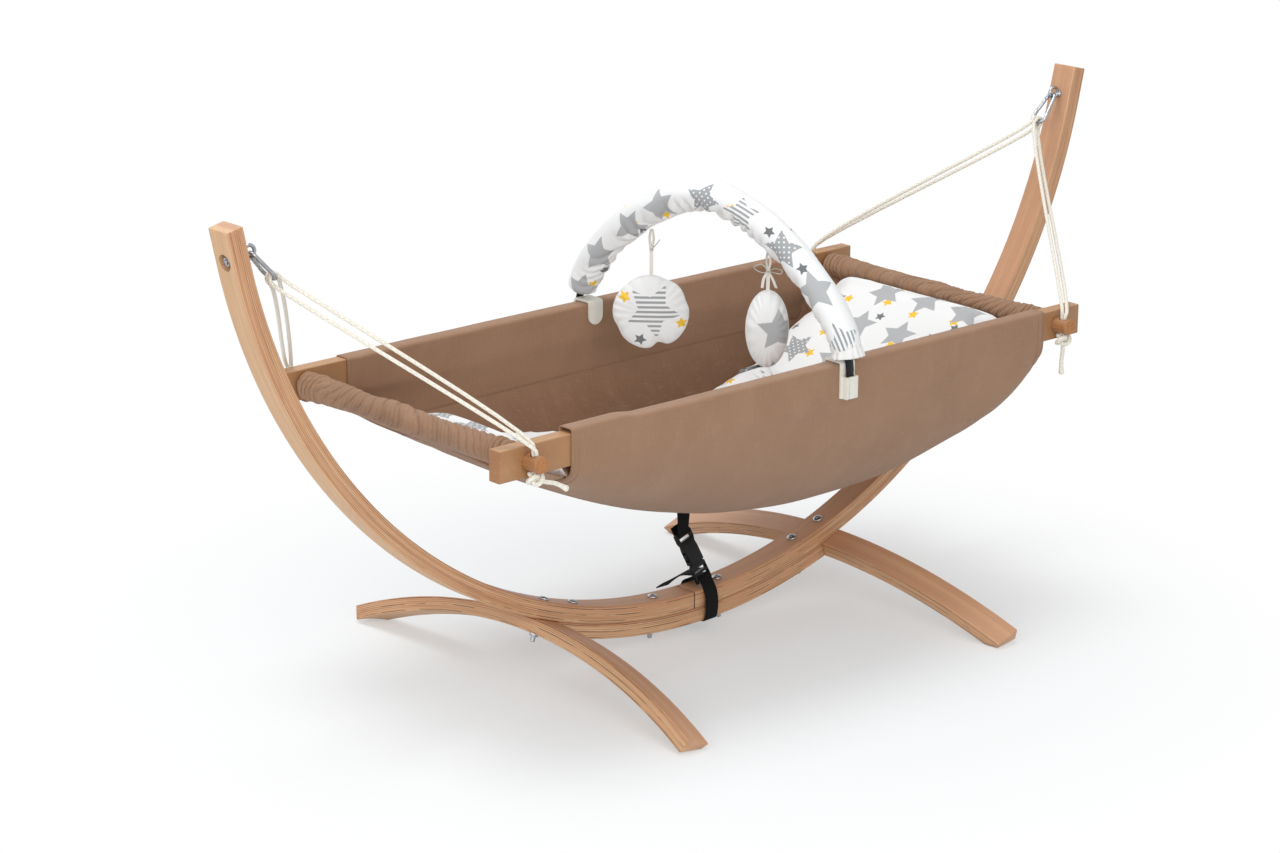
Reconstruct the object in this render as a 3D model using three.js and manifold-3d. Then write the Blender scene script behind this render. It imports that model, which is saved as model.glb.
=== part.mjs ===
// Hanging baby cradle: a fabric sling on a beech frame, hung by cotton cords and snap hooks
// from the tips of a bow-shaped stand, with a padded toy bar clipped over the rails.
// Millimetres, +Z up. The origin is on the floor under the middle of the bow, +X runs along
// the bow towards the pillow, and -Y is the front.
import * as THREE from 'three';
import { mergeVertices } from 'three/addons/utils/BufferGeometryUtils.js';
import Module from 'manifold-3d';

const wasm = await Module();
wasm.setup();

// Clearances
const SEAT = 0.3;
const FIT = 0.25;
const OVERRUN = 4;
const WELD = 1e-4;

// Bow: two laminated halves, butted in the middle, with straight tips
const BOW_RADIUS = 706;
const BOW_LIFT = 35;
const BOW_WIDTH = 36;
const BOW_THICKNESS = 22;
const BOW_ANGLE = 77;
const TIP_LENGTH = 45;
const BOW_EDGE = 2;

// Feet: laminated arches crossing under the bow, and the splice bar between them
const FOOT_ANGLE = 19.9;
const FOOT_RADIUS = 718;
const FOOT_HALF_SPAN = 304;
const FOOT_WIDTH = 36;
const LOWER_THICKNESS = 18.5;
const FOOT_EDGE = 1.5;

// Bolts through the bow
const BOLT_RADIUS = 3;
const BOLT_HEAD_RADIUS = 6.5;
const BOLT_HEAD_HEIGHT = 3;
const BOLT_SOCKET_RADIUS = 2.9;
const BOLT_SOCKET_DEPTH = 2;
const BOLT_END = 12;
const NUT_RADIUS = 5.8;
const NUT_THICKNESS = 5;
const SPLICE_BOLT_ANGLE = 15.8;
const CENTRE_BOLT_ANGLE = 4.6;

// Eye bolts at the tips
const EYE_DROP = 38;
const EYE_STANDOFF = 11.5;
const EYE_RING_RADIUS = 7.25;
const EYE_WIRE_RADIUS = 2.25;
const EYE_COLLAR_RADIUS = 4.5;
const EYE_COLLAR_HEIGHT = 1.6;
const COUNTERBORE_RADIUS = 10;
const COUNTERBORE_DEPTH = 9;
const WASHER_RADIUS = 8;
const WASHER_THICKNESS = 1.2;

// Snap hooks
const HOOK_WIRE_RADIUS = 2.5;
const HOOK_LENGTH = 50;
const HOOK_WIDTH = 25;
const HOOK_TOP_RADIUS = 5.5;
const HANG_ANGLE = 42;
const GATE_START_SHARE = 0.14;
const GATE_END_SHARE = 0.84;
const GATE_SLOT = 2.2;
const GATE_SLOT_LENGTH = 4.6;
const GATE_PIN_RADIUS = 0.8;

// Cradle frame: two rails on edge and two dowels
const RAIL_LENGTH = 960;
const RAIL_HEIGHT = 37.6;
const RAIL_THICKNESS = 18;
const RAIL_TOP = 382;
const RAIL_OUTER_Y = 210;
const RAIL_EDGE = 1.2;
const DOWEL_INSET = 41.6;
const DOWEL_X = RAIL_LENGTH / 2 - DOWEL_INSET;
const DOWEL_Z = 363.4;
const DOWEL_RADIUS = 10;
const DOWEL_REACH = 22.5;
const DOWEL_EDGE = 1.5;

// Hanging cords
const CORD_RADIUS = 2.3;
const CORD_PITCH = 5;
const CORD_HOLE_RADIUS = 5.4;
const KNOT_RADIUS = 8.5;
const KNOT_HEIGHT = 15;
const TAIL_LENGTH = 36;
const TAIL_DOWN_SHARES = [0, 0, -1];
const TAIL_ASIDE_SHARES = [0.84, -0.2, -0.5];

// Fabric sling
const FABRIC = 2.4;
const SLING_FOOT_INSET = 62.4;
const SLING_HEAD_INSET = 26.4;
const SLING_START_X = SLING_FOOT_INSET - DOWEL_X;
const SLING_END_X = DOWEL_X - SLING_HEAD_INSET;
const SLING_LOW_X = 133;
const SLING_LOW_Z = 150;
const SLING_END_Z = 351;
const SLING_TUNNEL_DROP = 24;
const SLING_STRIP_HALF_WIDTH = 184;
const HEM_LAP = 14;
const SLING_FOOT_SHARE = 1.77;
const SLING_HEAD_SHARE = 3.3;
const SLING_ROUND_SHARE = 2.05;
const SLING_SQUARE_SHARE = 6;

// Gathered end sleeves
const SLEEVE_RADIUS = 13.2;
const SLEEVE_GATHER = 1.3;
const SLEEVE_GATHERS = 13;
const SLEEVE_GAP = 2.5;

// Mattress and pillow
const MATTRESS_THICKNESS = 28;
const MATTRESS_CROWN = 6;
const MATTRESS_HALF_WIDTH = 158;
const MATTRESS_FOOT_INSET = 34.4;
const MATTRESS_HEAD_INSET = 22.4;
const MATTRESS_START_X = MATTRESS_FOOT_INSET - DOWEL_X;
const MATTRESS_END_X = DOWEL_X - MATTRESS_HEAD_INSET;
const MATTRESS_HEM = 3;
const MATTRESS_DEPTH = 12;
const PILLOW_INSET = 8;
const PILLOW_LENGTH = 176;
const PILLOW_END_X = MATTRESS_END_X - PILLOW_INSET;
const PILLOW_START_X = PILLOW_END_X - PILLOW_LENGTH;
const PILLOW_HALF_WIDTH = 147;
const PILLOW_THICKNESS = 30;
const PILLOW_EDGE = 5;

// Toy bar and its clips
const CLIP_WIDTH = 23;
const CLIP_WALL = 2.6;
const CLIP_TONGUE = 29;
const CLIP_OUTER_DROP = 40;
const CLIP_BOX_HEIGHT = 27;
const CLIP_BOX_DEPTH = 8.6;
const CLIP_BOX_WIDTH = 19;
const FRONT_CLIP_X = 58;
const BACK_CLIP_X = 17;
const BATTEN_WIDTH = 12;
const BATTEN_THICKNESS = 2.4;
const BAR_TOP_Z = 552;
const BAR_SPRING_Z = 376;
const BAR_RADIUS = 21.5;
const BAR_SEAT_Z = 394;
const BAR_ROUND_SHARE = 1.6;

// Hanging toys
const TOY_TURN = -43;
const ROUND_TOY_Y = 98;
const ROUND_TOY_RADIUS = 46.5;
const ROUND_TOY_DROP = 106;
const ROUND_TOY_THICKNESS = 26;
const ROUND_TOY_NOTCH_SHARE = 0.16;
const OVAL_TOY_Y = -90;
const OVAL_TOY_HALF_WIDTH = 25.5;
const OVAL_TOY_HALF_HEIGHT = 47.5;
const OVAL_TOY_DROP = 96;
const OVAL_TOY_THICKNESS = 36;
const RIBBON_RADIUS = 1.6;
const RIBBON_SPREAD = 2.6;
const BOW_LOOP_WIDTH = 17;

// Steadying strap and its side-release buckle; buckle sizes run up from the plug's rod
const WEB_WIDTH = 20;
const WEB_THICKNESS = 1.6;
const STRAP_ANGLE = 2;
const ROD_RISE = 11;
const ROD_Y = -8;
const ROD_RADIUS = 1.6;
const BUCKLE_LEAN_SHARES = [-0.271, 0.331, 0.904];
const BELLY_POINT_X = 5;
const BELLY_POINT_Y = 10;
const BELLY_GAP = 3.6;
const PLUG_WIDTH = 25.6;
const PLUG_THICKNESS = 5.5;
const PLUG_FOOT = 3;
const PLUG_SLOT_WIDTH = 21.2;
const PLUG_BAR_END = 9;
const PLUG_SLOT_LENGTH = 4.4;
const PLUG_SHOULDER = 22;
const PLUG_NECK_WIDTH = 20;
const GUIDE_WIDTH = 3;
const GUIDE_END = 37;
const ARM_THICKNESS = 5;
const ARM_ROOT = 5.2;
const ARM_BUTTON = 12.6;
const ARM_WIDTH = 4;
const ARM_END = 38;
const SOCKET_END = 66;
const SOCKET_WIDTH = 22.6;
const SOCKET_WAIST = 20.6;
const SOCKET_HEAD_WIDTH = 27;
const SOCKET_THICKNESS = 9.8;
const SOCKET_HEAD_THICKNESS = 7;
const CAVITY_WIDTH = 18.6;
const CAVITY_THICKNESS = 6;
const CAVITY_END = 42;
const WINDOW_START = 27;
const WINDOW_END = 40;
const BAR_SLOT_START = 54;
const BAR_SLOT_END = 61;
const TAIL_POINTS_X = [19, 13, 10];
const TAIL_POINTS_Y = [18, 44, 52];
const TAIL_POINTS_Z = [70, 52, 44];

// Materials
const material = (name, color, roughness, metalness = 0) =>
  new THREE.MeshStandardMaterial({ name, color, roughness, metalness });
const BEECH = material('beech', '#c6976a', 0.6);
const BEECH_DARK = material('beech_rail', '#ad7f55', 0.6);
const STEEL = material('zinc_steel', '#c9c9cc', 0.3, 1);
const COTTON = material('cotton_cord', '#ece8dc', 0.95);
const TAUPE = material('sling_fabric', '#9c7a62', 0.9);
const PRINT = material('printed_cotton', '#f3f2f0', 0.9);
const PLASTIC = material('white_plastic', '#e6e4da', 0.45);
const BLACK = material('black_webbing', '#151515', 0.85);
const BLACK_PLASTIC = material('black_plastic', '#101010', 0.4);

const model = new THREE.Group();
const rad = THREE.MathUtils.degToRad;
const v3 = (x, y, z) => new THREE.Vector3(x, y, z);
const AXIS_X = v3(1, 0, 0);
const AXIS_Y = v3(0, 1, 0);
const AXIS_Z = v3(0, 0, 1);

// Closed solids from vertices and triangles

function fromTriangles(points, triangles) {
  let volume = 0;
  for (const [a, b, c] of triangles) {
    volume += points[a].dot(v3(0, 0, 0).crossVectors(points[b], points[c]));
  }
  const index = triangles.flatMap(([a, b, c]) => (volume < 0 ? [a, c, b] : [a, b, c]));
  const geometry = new THREE.BufferGeometry();
  const values = points.flatMap((p) => p.toArray());
  geometry.setAttribute('position', new THREE.Float32BufferAttribute(values, 3));
  geometry.setIndex(index);
  return geometry;
}

// Skin over a row of rings with equal point counts, closed by fans or joined end to end
function loft(rings, endless = false) {
  const n = rings[0].length;
  const points = rings.flat();
  const triangles = [];
  const spans = endless ? rings.length : rings.length - 1;
  for (let i = 0; i < spans; i++) {
    const next = (i + 1) % rings.length;
    for (let j = 0; j < n; j++) {
      const k = (j + 1) % n;
      triangles.push([i * n + j, i * n + k, next * n + k], [i * n + j, next * n + k, next * n + j]);
    }
  }
  if (!endless) {
    const last = (rings.length - 1) * n;
    for (let j = 1; j < n - 1; j++) {
      triangles.push([0, j + 1, j], [last, last + j, last + j + 1]);
    }
  }
  return fromTriangles(points, triangles);
}

// Closed sheet between two grids of points, upper[i][j] and lower[i][j]
function sheet(upper, lower) {
  const rows = upper.length;
  const columns = upper[0].length;
  const points = [...upper.flat(), ...lower.flat()];
  const top = (i, j) => i * columns + j;
  const under = (i, j) => rows * columns + i * columns + j;
  const triangles = [];
  const quad = (a, b, c, d) => triangles.push([a, b, c], [a, c, d]);
  for (let i = 0; i < rows - 1; i++) {
    for (let j = 0; j < columns - 1; j++) {
      quad(top(i, j), top(i + 1, j), top(i + 1, j + 1), top(i, j + 1));
      quad(under(i, j), under(i, j + 1), under(i + 1, j + 1), under(i + 1, j));
    }
    quad(top(i, 0), under(i, 0), under(i + 1, 0), top(i + 1, 0));
    quad(top(i, columns - 1), top(i + 1, columns - 1), under(i + 1, columns - 1), under(i, columns - 1));
  }
  for (let j = 0; j < columns - 1; j++) {
    quad(top(0, j), top(0, j + 1), under(0, j + 1), under(0, j));
    quad(top(rows - 1, j), under(rows - 1, j), under(rows - 1, j + 1), top(rows - 1, j + 1));
  }
  return fromTriangles(points, triangles);
}

function toManifold(geometry) {
  const bare = geometry.clone();
  bare.deleteAttribute('normal');
  bare.deleteAttribute('uv');
  const merged = mergeVertices(bare, WELD);
  return new wasm.Manifold(new wasm.Mesh({
    numProp: 3,
    vertProperties: new Float32Array(merged.attributes.position.array),
    triVerts: new Uint32Array(merged.index.array),
  }));
}

function toGeometry(manifold) {
  const mesh = manifold.getMesh();
  const geometry = new THREE.BufferGeometry();
  geometry.setAttribute('position', new THREE.Float32BufferAttribute(mesh.vertProperties, 3));
  geometry.setIndex(Array.from(mesh.triVerts));
  return geometry;
}

const cut = (body, ...tools) =>
  toGeometry(tools.reduce((left, tool) => left.subtract(toManifold(tool)), toManifold(body)));
const join = (...parts) => toGeometry(parts.map(toManifold).reduce((a, b) => a.add(b)));

function addPart(name, geometry, look, parent = model) {
  const mesh = new THREE.Mesh(geometry, look);
  mesh.name = name;
  parent.add(mesh);
  return mesh;
}

// Sections and sweeps

function roundSection(radius, sides) {
  const step = (2 * Math.PI) / sides;
  return Array.from({ length: sides }, (_, i) => [
    radius * Math.cos((i + 0.5) * step), radius * Math.sin((i + 0.5) * step)]);
}

function bevelledSection(width, depth, edge) {
  const w = width / 2;
  const d = depth / 2;
  return [[-w + edge, -d], [w - edge, -d], [w, -d + edge], [w, d - edge],
    [w - edge, d], [-w + edge, d], [-w, d - edge], [-w, -d + edge]];
}

const flatSection = (width, depth) =>
  [[-1, -1], [1, -1], [1, 1], [-1, 1]].map(([a, b]) => [(a * width) / 2, (b * depth) / 2]);

const ringAt = (section, at, u, v) =>
  section.map(([a, b]) => at.clone().addScaledVector(u, a).addScaledVector(v, b));

// Cylinder or prism from one point to another
function rod(from, to, radius, sides = 16, turn = null) {
  const along = to.clone().sub(from).normalize();
  const u = (turn ?? (Math.abs(along.y) > 0.9 ? AXIS_X : AXIS_Y)).clone();
  u.addScaledVector(along, -u.dot(along)).normalize();
  const v = v3(0, 0, 0).crossVectors(along, u);
  const section = roundSection(radius, sides);
  return loft([ringAt(section, from, u, v), ringAt(section, to, u, v)]);
}

function box(width, depth, height, centre) {
  const geometry = new THREE.BoxGeometry(width, depth, height);
  geometry.translate(centre.x, centre.y, centre.z);
  return geometry;
}

// Tube along a cord's route: straight prisms mitred at each step, so that every side stays flat
function cordTube(route, radius, steps, sides = 8) {
  const points = new THREE.CatmullRomCurve3(route, false, 'centripetal').getPoints(steps);
  const spans = points.slice(1).map((point, i) => point.clone().sub(points[i]).normalize());
  const u = v3(0, 0, 0).crossVectors(spans[0], Math.abs(spans[0].y) > 0.9 ? AXIS_X : AXIS_Y).normalize();
  const v = v3(0, 0, 0).crossVectors(spans[0], u);
  const section = roundSection(radius, sides);
  const rings = points.map((point, i) => {
    const entering = spans[Math.max(i - 1, 0)];
    const leaving = spans[Math.min(i, spans.length - 1)];
    const mitre = entering.clone().add(leaving);
    const ring = ringAt(section, point, u, v).map((place) => {
      const offset = place.clone().sub(point);
      return place.addScaledVector(entering, -offset.dot(mitre) / entering.dot(mitre));
    });
    const turn = new THREE.Quaternion().setFromUnitVectors(entering, leaving);
    u.applyQuaternion(turn);
    v.applyQuaternion(turn);
    return ring;
  });
  return loft(rings);
}

// Bow, measured by the angle from its lowest point; side is 1 for the right half, -1 for the left

const BOW_CENTRE_Z = BOW_RADIUS + BOW_LIFT;
const outwardAt = (angle, side) => v3(side * Math.sin(rad(angle)), 0, -Math.cos(rad(angle)));
const alongAt = (angle, side) => v3(side * Math.cos(rad(angle)), 0, Math.sin(rad(angle)));
const bowPoint = (angle, side, radius = BOW_RADIUS) =>
  v3(0, 0, BOW_CENTRE_Z).addScaledVector(outwardAt(angle, side), radius);

function bowHalf(side) {
  const SEGMENTS = 30;
  const start = THREE.MathUtils.radToDeg(SEAT / 2 / BOW_RADIUS);
  const section = bevelledSection(BOW_WIDTH, BOW_THICKNESS, BOW_EDGE);
  const rings = [];
  for (let i = 0; i <= SEGMENTS; i++) {
    const angle = start + ((BOW_ANGLE - start) * i) / SEGMENTS;
    const middle = bowPoint(angle, side, BOW_RADIUS - BOW_THICKNESS / 2);
    rings.push(ringAt(section, middle, AXIS_Y, outwardAt(angle, side)));
  }
  const tip = bowPoint(BOW_ANGLE, side, BOW_RADIUS - BOW_THICKNESS / 2)
    .addScaledVector(alongAt(BOW_ANGLE, side), TIP_LENGTH);
  rings.push(ringAt(section, tip, AXIS_Y, outwardAt(BOW_ANGLE, side)));
  return loft(rings);
}

// Hole along the bow's radius, from inside its inner face to below the bar under it
const boltHole = (angle, side) => rod(
  bowPoint(angle, side, BOW_RADIUS - BOW_THICKNESS - OVERRUN),
  bowPoint(angle, side, BOW_RADIUS + LOWER_THICKNESS + OVERRUN), BOLT_RADIUS + FIT, 12);

// Point on the tip's outer face at the eye bolt, and the way in towards the cradle
const eyeSeat = (side) => bowPoint(BOW_ANGLE, side)
  .addScaledVector(alongAt(BOW_ANGLE, side), TIP_LENGTH - EYE_DROP);
const eyePoint = (side, inward) => eyeSeat(side).addScaledVector(outwardAt(BOW_ANGLE, side), -inward);

for (const [side, label] of [[-1, 'left'], [1, 'right']]) {
  addPart(`bow_${label}`, cut(bowHalf(side),
    ...[FOOT_ANGLE, SPLICE_BOLT_ANGLE, CENTRE_BOLT_ANGLE].map((angle) => boltHole(angle, side)),
    rod(eyePoint(side, -OVERRUN), eyePoint(side, COUNTERBORE_DEPTH), COUNTERBORE_RADIUS, 20),
    rod(eyePoint(side, 0), eyePoint(side, BOW_THICKNESS + OVERRUN), BOLT_RADIUS + FIT, 12)), BEECH);
}

// Splice bar under the joint of the bow, between the feet
const SPLICE_ANGLE = FOOT_ANGLE - THREE.MathUtils.radToDeg(Math.asin((FOOT_WIDTH / 2 + SEAT) / BOW_RADIUS));
const LOWER_RADIUS = BOW_RADIUS + SEAT + LOWER_THICKNESS;

function spliceBar() {
  const SEGMENTS = 16;
  const section = bevelledSection(BOW_WIDTH, LOWER_THICKNESS, FOOT_EDGE);
  const rings = [];
  for (let i = 0; i <= SEGMENTS; i++) {
    const angle = SPLICE_ANGLE * ((2 * i) / SEGMENTS - 1);
    const middle = bowPoint(angle, 1, LOWER_RADIUS - LOWER_THICKNESS / 2);
    rings.push(ringAt(section, middle, AXIS_Y, outwardAt(angle, 1)));
  }
  return loft(rings);
}
addPart('bow_splice', cut(spliceBar(),
  ...[-1, 1].flatMap((side) => [SPLICE_BOLT_ANGLE, CENTRE_BOLT_ANGLE]
    .map((angle) => boltHole(angle, side)))), BEECH);

// Foot: an arch in the plane square to the bow, cut flat where it stands on the floor
function foot(side) {
  const SEGMENTS = 20;
  const out = outwardAt(FOOT_ANGLE, side);
  const along = alongAt(FOOT_ANGLE, side);
  const crown = bowPoint(FOOT_ANGLE, side, BOW_RADIUS + SEAT);
  const middle = FOOT_RADIUS - LOWER_THICKNESS / 2;
  const sweep = Math.asin(FOOT_HALF_SPAN / FOOT_RADIUS);
  const section = bevelledSection(FOOT_WIDTH, LOWER_THICKNESS, FOOT_EDGE);
  const rings = [];
  for (let i = 0; i <= SEGMENTS; i++) {
    const turn = sweep * ((2 * i) / SEGMENTS - 1);
    const up = out.clone().multiplyScalar(-Math.cos(turn)).addScaledVector(AXIS_Y, Math.sin(turn));
    const centre = crown.clone().addScaledVector(out, FOOT_RADIUS).addScaledVector(up, middle);
    rings.push(ringAt(section, centre, along, up));
  }
  const reach = FOOT_HALF_SPAN + BOW_WIDTH;
  const floor = box(2 * reach, 2 * reach, BOW_WIDTH, v3(crown.x, 0, -BOW_WIDTH / 2));
  return cut(loft(rings), floor, boltHole(FOOT_ANGLE, side));
}
for (const [side, label] of [[-1, 'left'], [1, 'right']]) {
  addPart(`foot_${label}`, foot(side), BEECH);
}

// Bolts, turned about their own axis from the origin and then set on the bow

function lathe(profile, sides) {
  const geometry = new THREE.LatheGeometry(profile.map(([r, z]) => new THREE.Vector2(r, z)), sides);
  geometry.rotateX(Math.PI / 2);
  return geometry;
}

// The group's +Z points inward along the radius, with its origin on the given radius
function onBow(angle, side, radius) {
  const group = new THREE.Group();
  group.position.copy(bowPoint(angle, side, radius));
  group.rotation.y = -side * rad(angle);
  model.add(group);
  return group;
}

function boltGeometry() {
  const head = BOLT_HEAD_RADIUS;
  const rise = BOLT_HEAD_HEIGHT;
  const length = BOW_THICKNESS + SEAT + LOWER_THICKNESS + BOLT_END;
  const body = lathe([[0, -length], [BOLT_RADIUS, -length], [BOLT_RADIUS, SEAT], [head, SEAT],
    [head, SEAT + rise / 4], [head * 0.8, SEAT + rise * 0.8],
    [head * 0.5, SEAT + rise], [0, SEAT + rise]], 12);
  const floor = v3(0, 0, SEAT + rise - BOLT_SOCKET_DEPTH);
  return cut(body, rod(floor, v3(0, 0, rise + OVERRUN), BOLT_SOCKET_RADIUS, 6));
}

function ringPlate(outer, inner, thickness, sides) {
  return cut(rod(v3(0, 0, 0), v3(0, 0, thickness), outer, sides),
    rod(v3(0, 0, -OVERRUN), v3(0, 0, thickness + OVERRUN), inner, 10));
}

const BOLTS = [['foot', FOOT_ANGLE], ['splice', SPLICE_BOLT_ANGLE], ['centre', CENTRE_BOLT_ANGLE]];
for (const [side, label] of [[-1, 'left'], [1, 'right']]) {
  for (const [name, angle] of BOLTS) {
    addPart(`${name}_bolt_${label}`, boltGeometry(), STEEL, onBow(angle, side, BOW_RADIUS - BOW_THICKNESS));
    const under = onBow(angle, side, LOWER_RADIUS + SEAT + NUT_THICKNESS);
    const nut = ringPlate(NUT_RADIUS, BOLT_RADIUS + FIT, NUT_THICKNESS, 6);
    addPart(`${name}_nut_${label}`, nut, STEEL, under);
  }
}

// Eye bolts: ring in the XZ plane, shank through the tip, washer and nut in the counterbore

function eyeBolt(side) {
  const RING_STEPS = 16;
  const centre = eyePoint(side, BOW_THICKNESS + EYE_STANDOFF);
  const section = roundSection(EYE_WIRE_RADIUS, 8);
  const rings = [];
  for (let i = 0; i < RING_STEPS; i++) {
    const turn = (2 * Math.PI * i) / RING_STEPS;
    const out = v3(Math.cos(turn), 0, Math.sin(turn));
    rings.push(ringAt(section, centre.clone().addScaledVector(out, EYE_RING_RADIUS), out, AXIS_Y));
  }
  const nutEnd = COUNTERBORE_DEPTH - SEAT - WASHER_THICKNESS - SEAT - NUT_THICKNESS;
  const neck = BOW_THICKNESS + SEAT;
  return join(loft(rings, true),
    rod(eyePoint(side, nutEnd - BOLT_RADIUS / 2),
      eyePoint(side, BOW_THICKNESS + EYE_STANDOFF - EYE_RING_RADIUS), BOLT_RADIUS, 10),
    rod(eyePoint(side, neck), eyePoint(side, neck + EYE_COLLAR_HEIGHT), EYE_COLLAR_RADIUS, 12));
}

for (const [side, label] of [[-1, 'left'], [1, 'right']]) {
  addPart(`eye_bolt_${label}`, eyeBolt(side), STEEL);
  const washerEnd = COUNTERBORE_DEPTH - SEAT;
  const hole = rod(
    eyePoint(side, -OVERRUN), eyePoint(side, COUNTERBORE_DEPTH + OVERRUN), BOLT_RADIUS + FIT, 10);
  addPart(`eye_washer_${label}`, cut(
    rod(eyePoint(side, washerEnd - WASHER_THICKNESS), eyePoint(side, washerEnd), WASHER_RADIUS, 16),
    hole), STEEL);
  const nutEnd = washerEnd - WASHER_THICKNESS - SEAT;
  addPart(`eye_nut_${label}`, cut(
    rod(eyePoint(side, nutEnd - NUT_THICKNESS), eyePoint(side, nutEnd), NUT_RADIUS, 6), hole), STEEL);
}

// Snap hooks: teardrop loop of wire in the plane of Y and the hanging direction

const hangDown = (side) => v3(-side * Math.sin(rad(HANG_ANGLE)), 0, -Math.cos(rad(HANG_ANGLE)));
const hangAcross = (side) => v3(-side * Math.cos(rad(HANG_ANGLE)), 0, Math.sin(rad(HANG_ANGLE)));
const HOOK_BASE_RADIUS = HOOK_WIDTH / 2 - HOOK_WIRE_RADIUS;
const HOOK_SPAN = HOOK_LENGTH - 2 * HOOK_WIRE_RADIUS - HOOK_TOP_RADIUS - HOOK_BASE_RADIUS;
const HOOK_TAPER = Math.asin((HOOK_BASE_RADIUS - HOOK_TOP_RADIUS) / HOOK_SPAN);

// The ring's wire rests in the hook's top bend, which turns about it
const swingPoint = (side) => eyePoint(side, BOW_THICKNESS + EYE_STANDOFF)
  .addScaledVector(hangDown(side), EYE_RING_RADIUS);
const hookTop = (side) => swingPoint(side).addScaledVector(
  hangDown(side), HOOK_TOP_RADIUS - EYE_WIRE_RADIUS - HOOK_WIRE_RADIUS - SEAT);
// Hook coordinates: across is +Y, down is along the hang
const hookPoint = (side, across, down) => hookTop(side)
  .addScaledVector(AXIS_Y, across).addScaledVector(hangDown(side), down);

// Place on the hook's straight gate side, as a share of its length from the top bend
function gateLine(share) {
  const top = [HOOK_TOP_RADIUS * Math.cos(HOOK_TAPER), -HOOK_TOP_RADIUS * Math.sin(HOOK_TAPER)];
  const base = [
    HOOK_BASE_RADIUS * Math.cos(HOOK_TAPER), HOOK_SPAN - HOOK_BASE_RADIUS * Math.sin(HOOK_TAPER)];
  return top.map((value, i) => value + (base[i] - value) * share);
}

function sweepInPlane(side, path, radius, sides) {
  const section = roundSection(radius, sides);
  const rings = path.map(([across, down], i) => {
    const before = path[Math.max(i - 1, 0)];
    const after = path[Math.min(i + 1, path.length - 1)];
    const step = [after[0] - before[0], after[1] - before[1]];
    const length = Math.hypot(...step);
    const normal = v3(0, 0, 0).addScaledVector(AXIS_Y, step[1] / length)
      .addScaledVector(hangDown(side), -step[0] / length);
    return ringAt(section, hookPoint(side, across, down), normal, hangAcross(side));
  });
  return loft(rings);
}

function hookPath() {
  const path = [gateLine(GATE_START_SHARE)];
  const bend = (radius, down, from, to, steps) => {
    for (let i = 0; i <= steps; i++) {
      const turn = from + ((to - from) * i) / steps;
      path.push([radius * Math.cos(turn), down - radius * Math.sin(turn)]);
    }
  };
  bend(HOOK_TOP_RADIUS, 0, HOOK_TAPER, Math.PI - HOOK_TAPER, 8);
  bend(HOOK_BASE_RADIUS, HOOK_SPAN, Math.PI - HOOK_TAPER, 2 * Math.PI + HOOK_TAPER, 12);
  path.push(gateLine(GATE_END_SHARE));
  return path;
}

// Slab across the wire, used as the hinge slot's cutter
function slotTool(side, share, width, length) {
  const [across, down] = gateLine(share);
  const geometry = new THREE.BoxGeometry(3 * HOOK_WIRE_RADIUS, length, width);
  const basis = new THREE.Matrix4().makeBasis(
    AXIS_Y, hangDown(side), v3(0, 0, 0).crossVectors(AXIS_Y, hangDown(side)));
  geometry.applyMatrix4(basis.setPosition(hookPoint(side, across, down)));
  return geometry;
}

const HINGE_SHARE = GATE_START_SHARE + 0.06;
for (const [side, label] of [[-1, 'left'], [1, 'right']]) {
  const across = hangAcross(side);
  const hinge = hookPoint(side, ...gateLine(HINGE_SHARE));
  const pin = (radius, half) => rod(
    hinge.clone().addScaledVector(across, -half),
    hinge.clone().addScaledVector(across, half), radius, 10, AXIS_Y);
  const tongueEnd = hookPoint(side, ...gateLine(HINGE_SHARE + 0.05));
  const tongueStart = hookPoint(side, ...gateLine(GATE_START_SHARE - 0.04));
  const tongue = loft([tongueStart, tongueEnd].map((at) => ringAt(
    bevelledSection(2 * HOOK_WIRE_RADIUS * 0.8, GATE_SLOT - 2 * FIT, FIT), at, AXIS_Y, across)));
  addPart(`snap_hook_${label}`, cut(
    join(sweepInPlane(side, hookPath(), HOOK_WIRE_RADIUS, 8), tongue),
    pin(GATE_PIN_RADIUS + FIT / 2, HOOK_WIRE_RADIUS + OVERRUN)), STEEL);
  const gateEnds = [gateLine(HINGE_SHARE - 0.035), gateLine(GATE_END_SHARE - 0.02)];
  const gate = sweepInPlane(side, gateEnds, HOOK_WIRE_RADIUS, 8);
  addPart(`hook_gate_${label}`, cut(gate, slotTool(side, HINGE_SHARE, GATE_SLOT, GATE_SLOT_LENGTH * 1.4),
    pin(GATE_PIN_RADIUS + FIT / 2, HOOK_WIRE_RADIUS + OVERRUN)), STEEL);
  addPart(`gate_pin_${label}`, pin(GATE_PIN_RADIUS, HOOK_WIRE_RADIUS), STEEL);
}

// Rails and dowels

const RAIL_Y = RAIL_OUTER_Y - RAIL_THICKNESS / 2;
const CORD_Y = RAIL_OUTER_Y + DOWEL_REACH / 2;
for (const [front, label] of [[-1, 'front'], [1, 'back']]) {
  const section = bevelledSection(RAIL_THICKNESS, RAIL_HEIGHT, RAIL_EDGE);
  const rings = [-1, 1].map((end) => ringAt(
    section, v3((end * RAIL_LENGTH) / 2, front * RAIL_Y, RAIL_TOP - RAIL_HEIGHT / 2), AXIS_Y, AXIS_Z));
  const holes = [-1, 1].map((end) => rod(
    v3(end * DOWEL_X, front * (RAIL_OUTER_Y + OVERRUN), DOWEL_Z),
    v3(end * DOWEL_X, front * (RAIL_OUTER_Y - RAIL_THICKNESS - OVERRUN), DOWEL_Z), DOWEL_RADIUS + FIT, 20));
  addPart(`rail_${label}`, cut(loft(rings), ...holes), BEECH_DARK);
}

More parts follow.
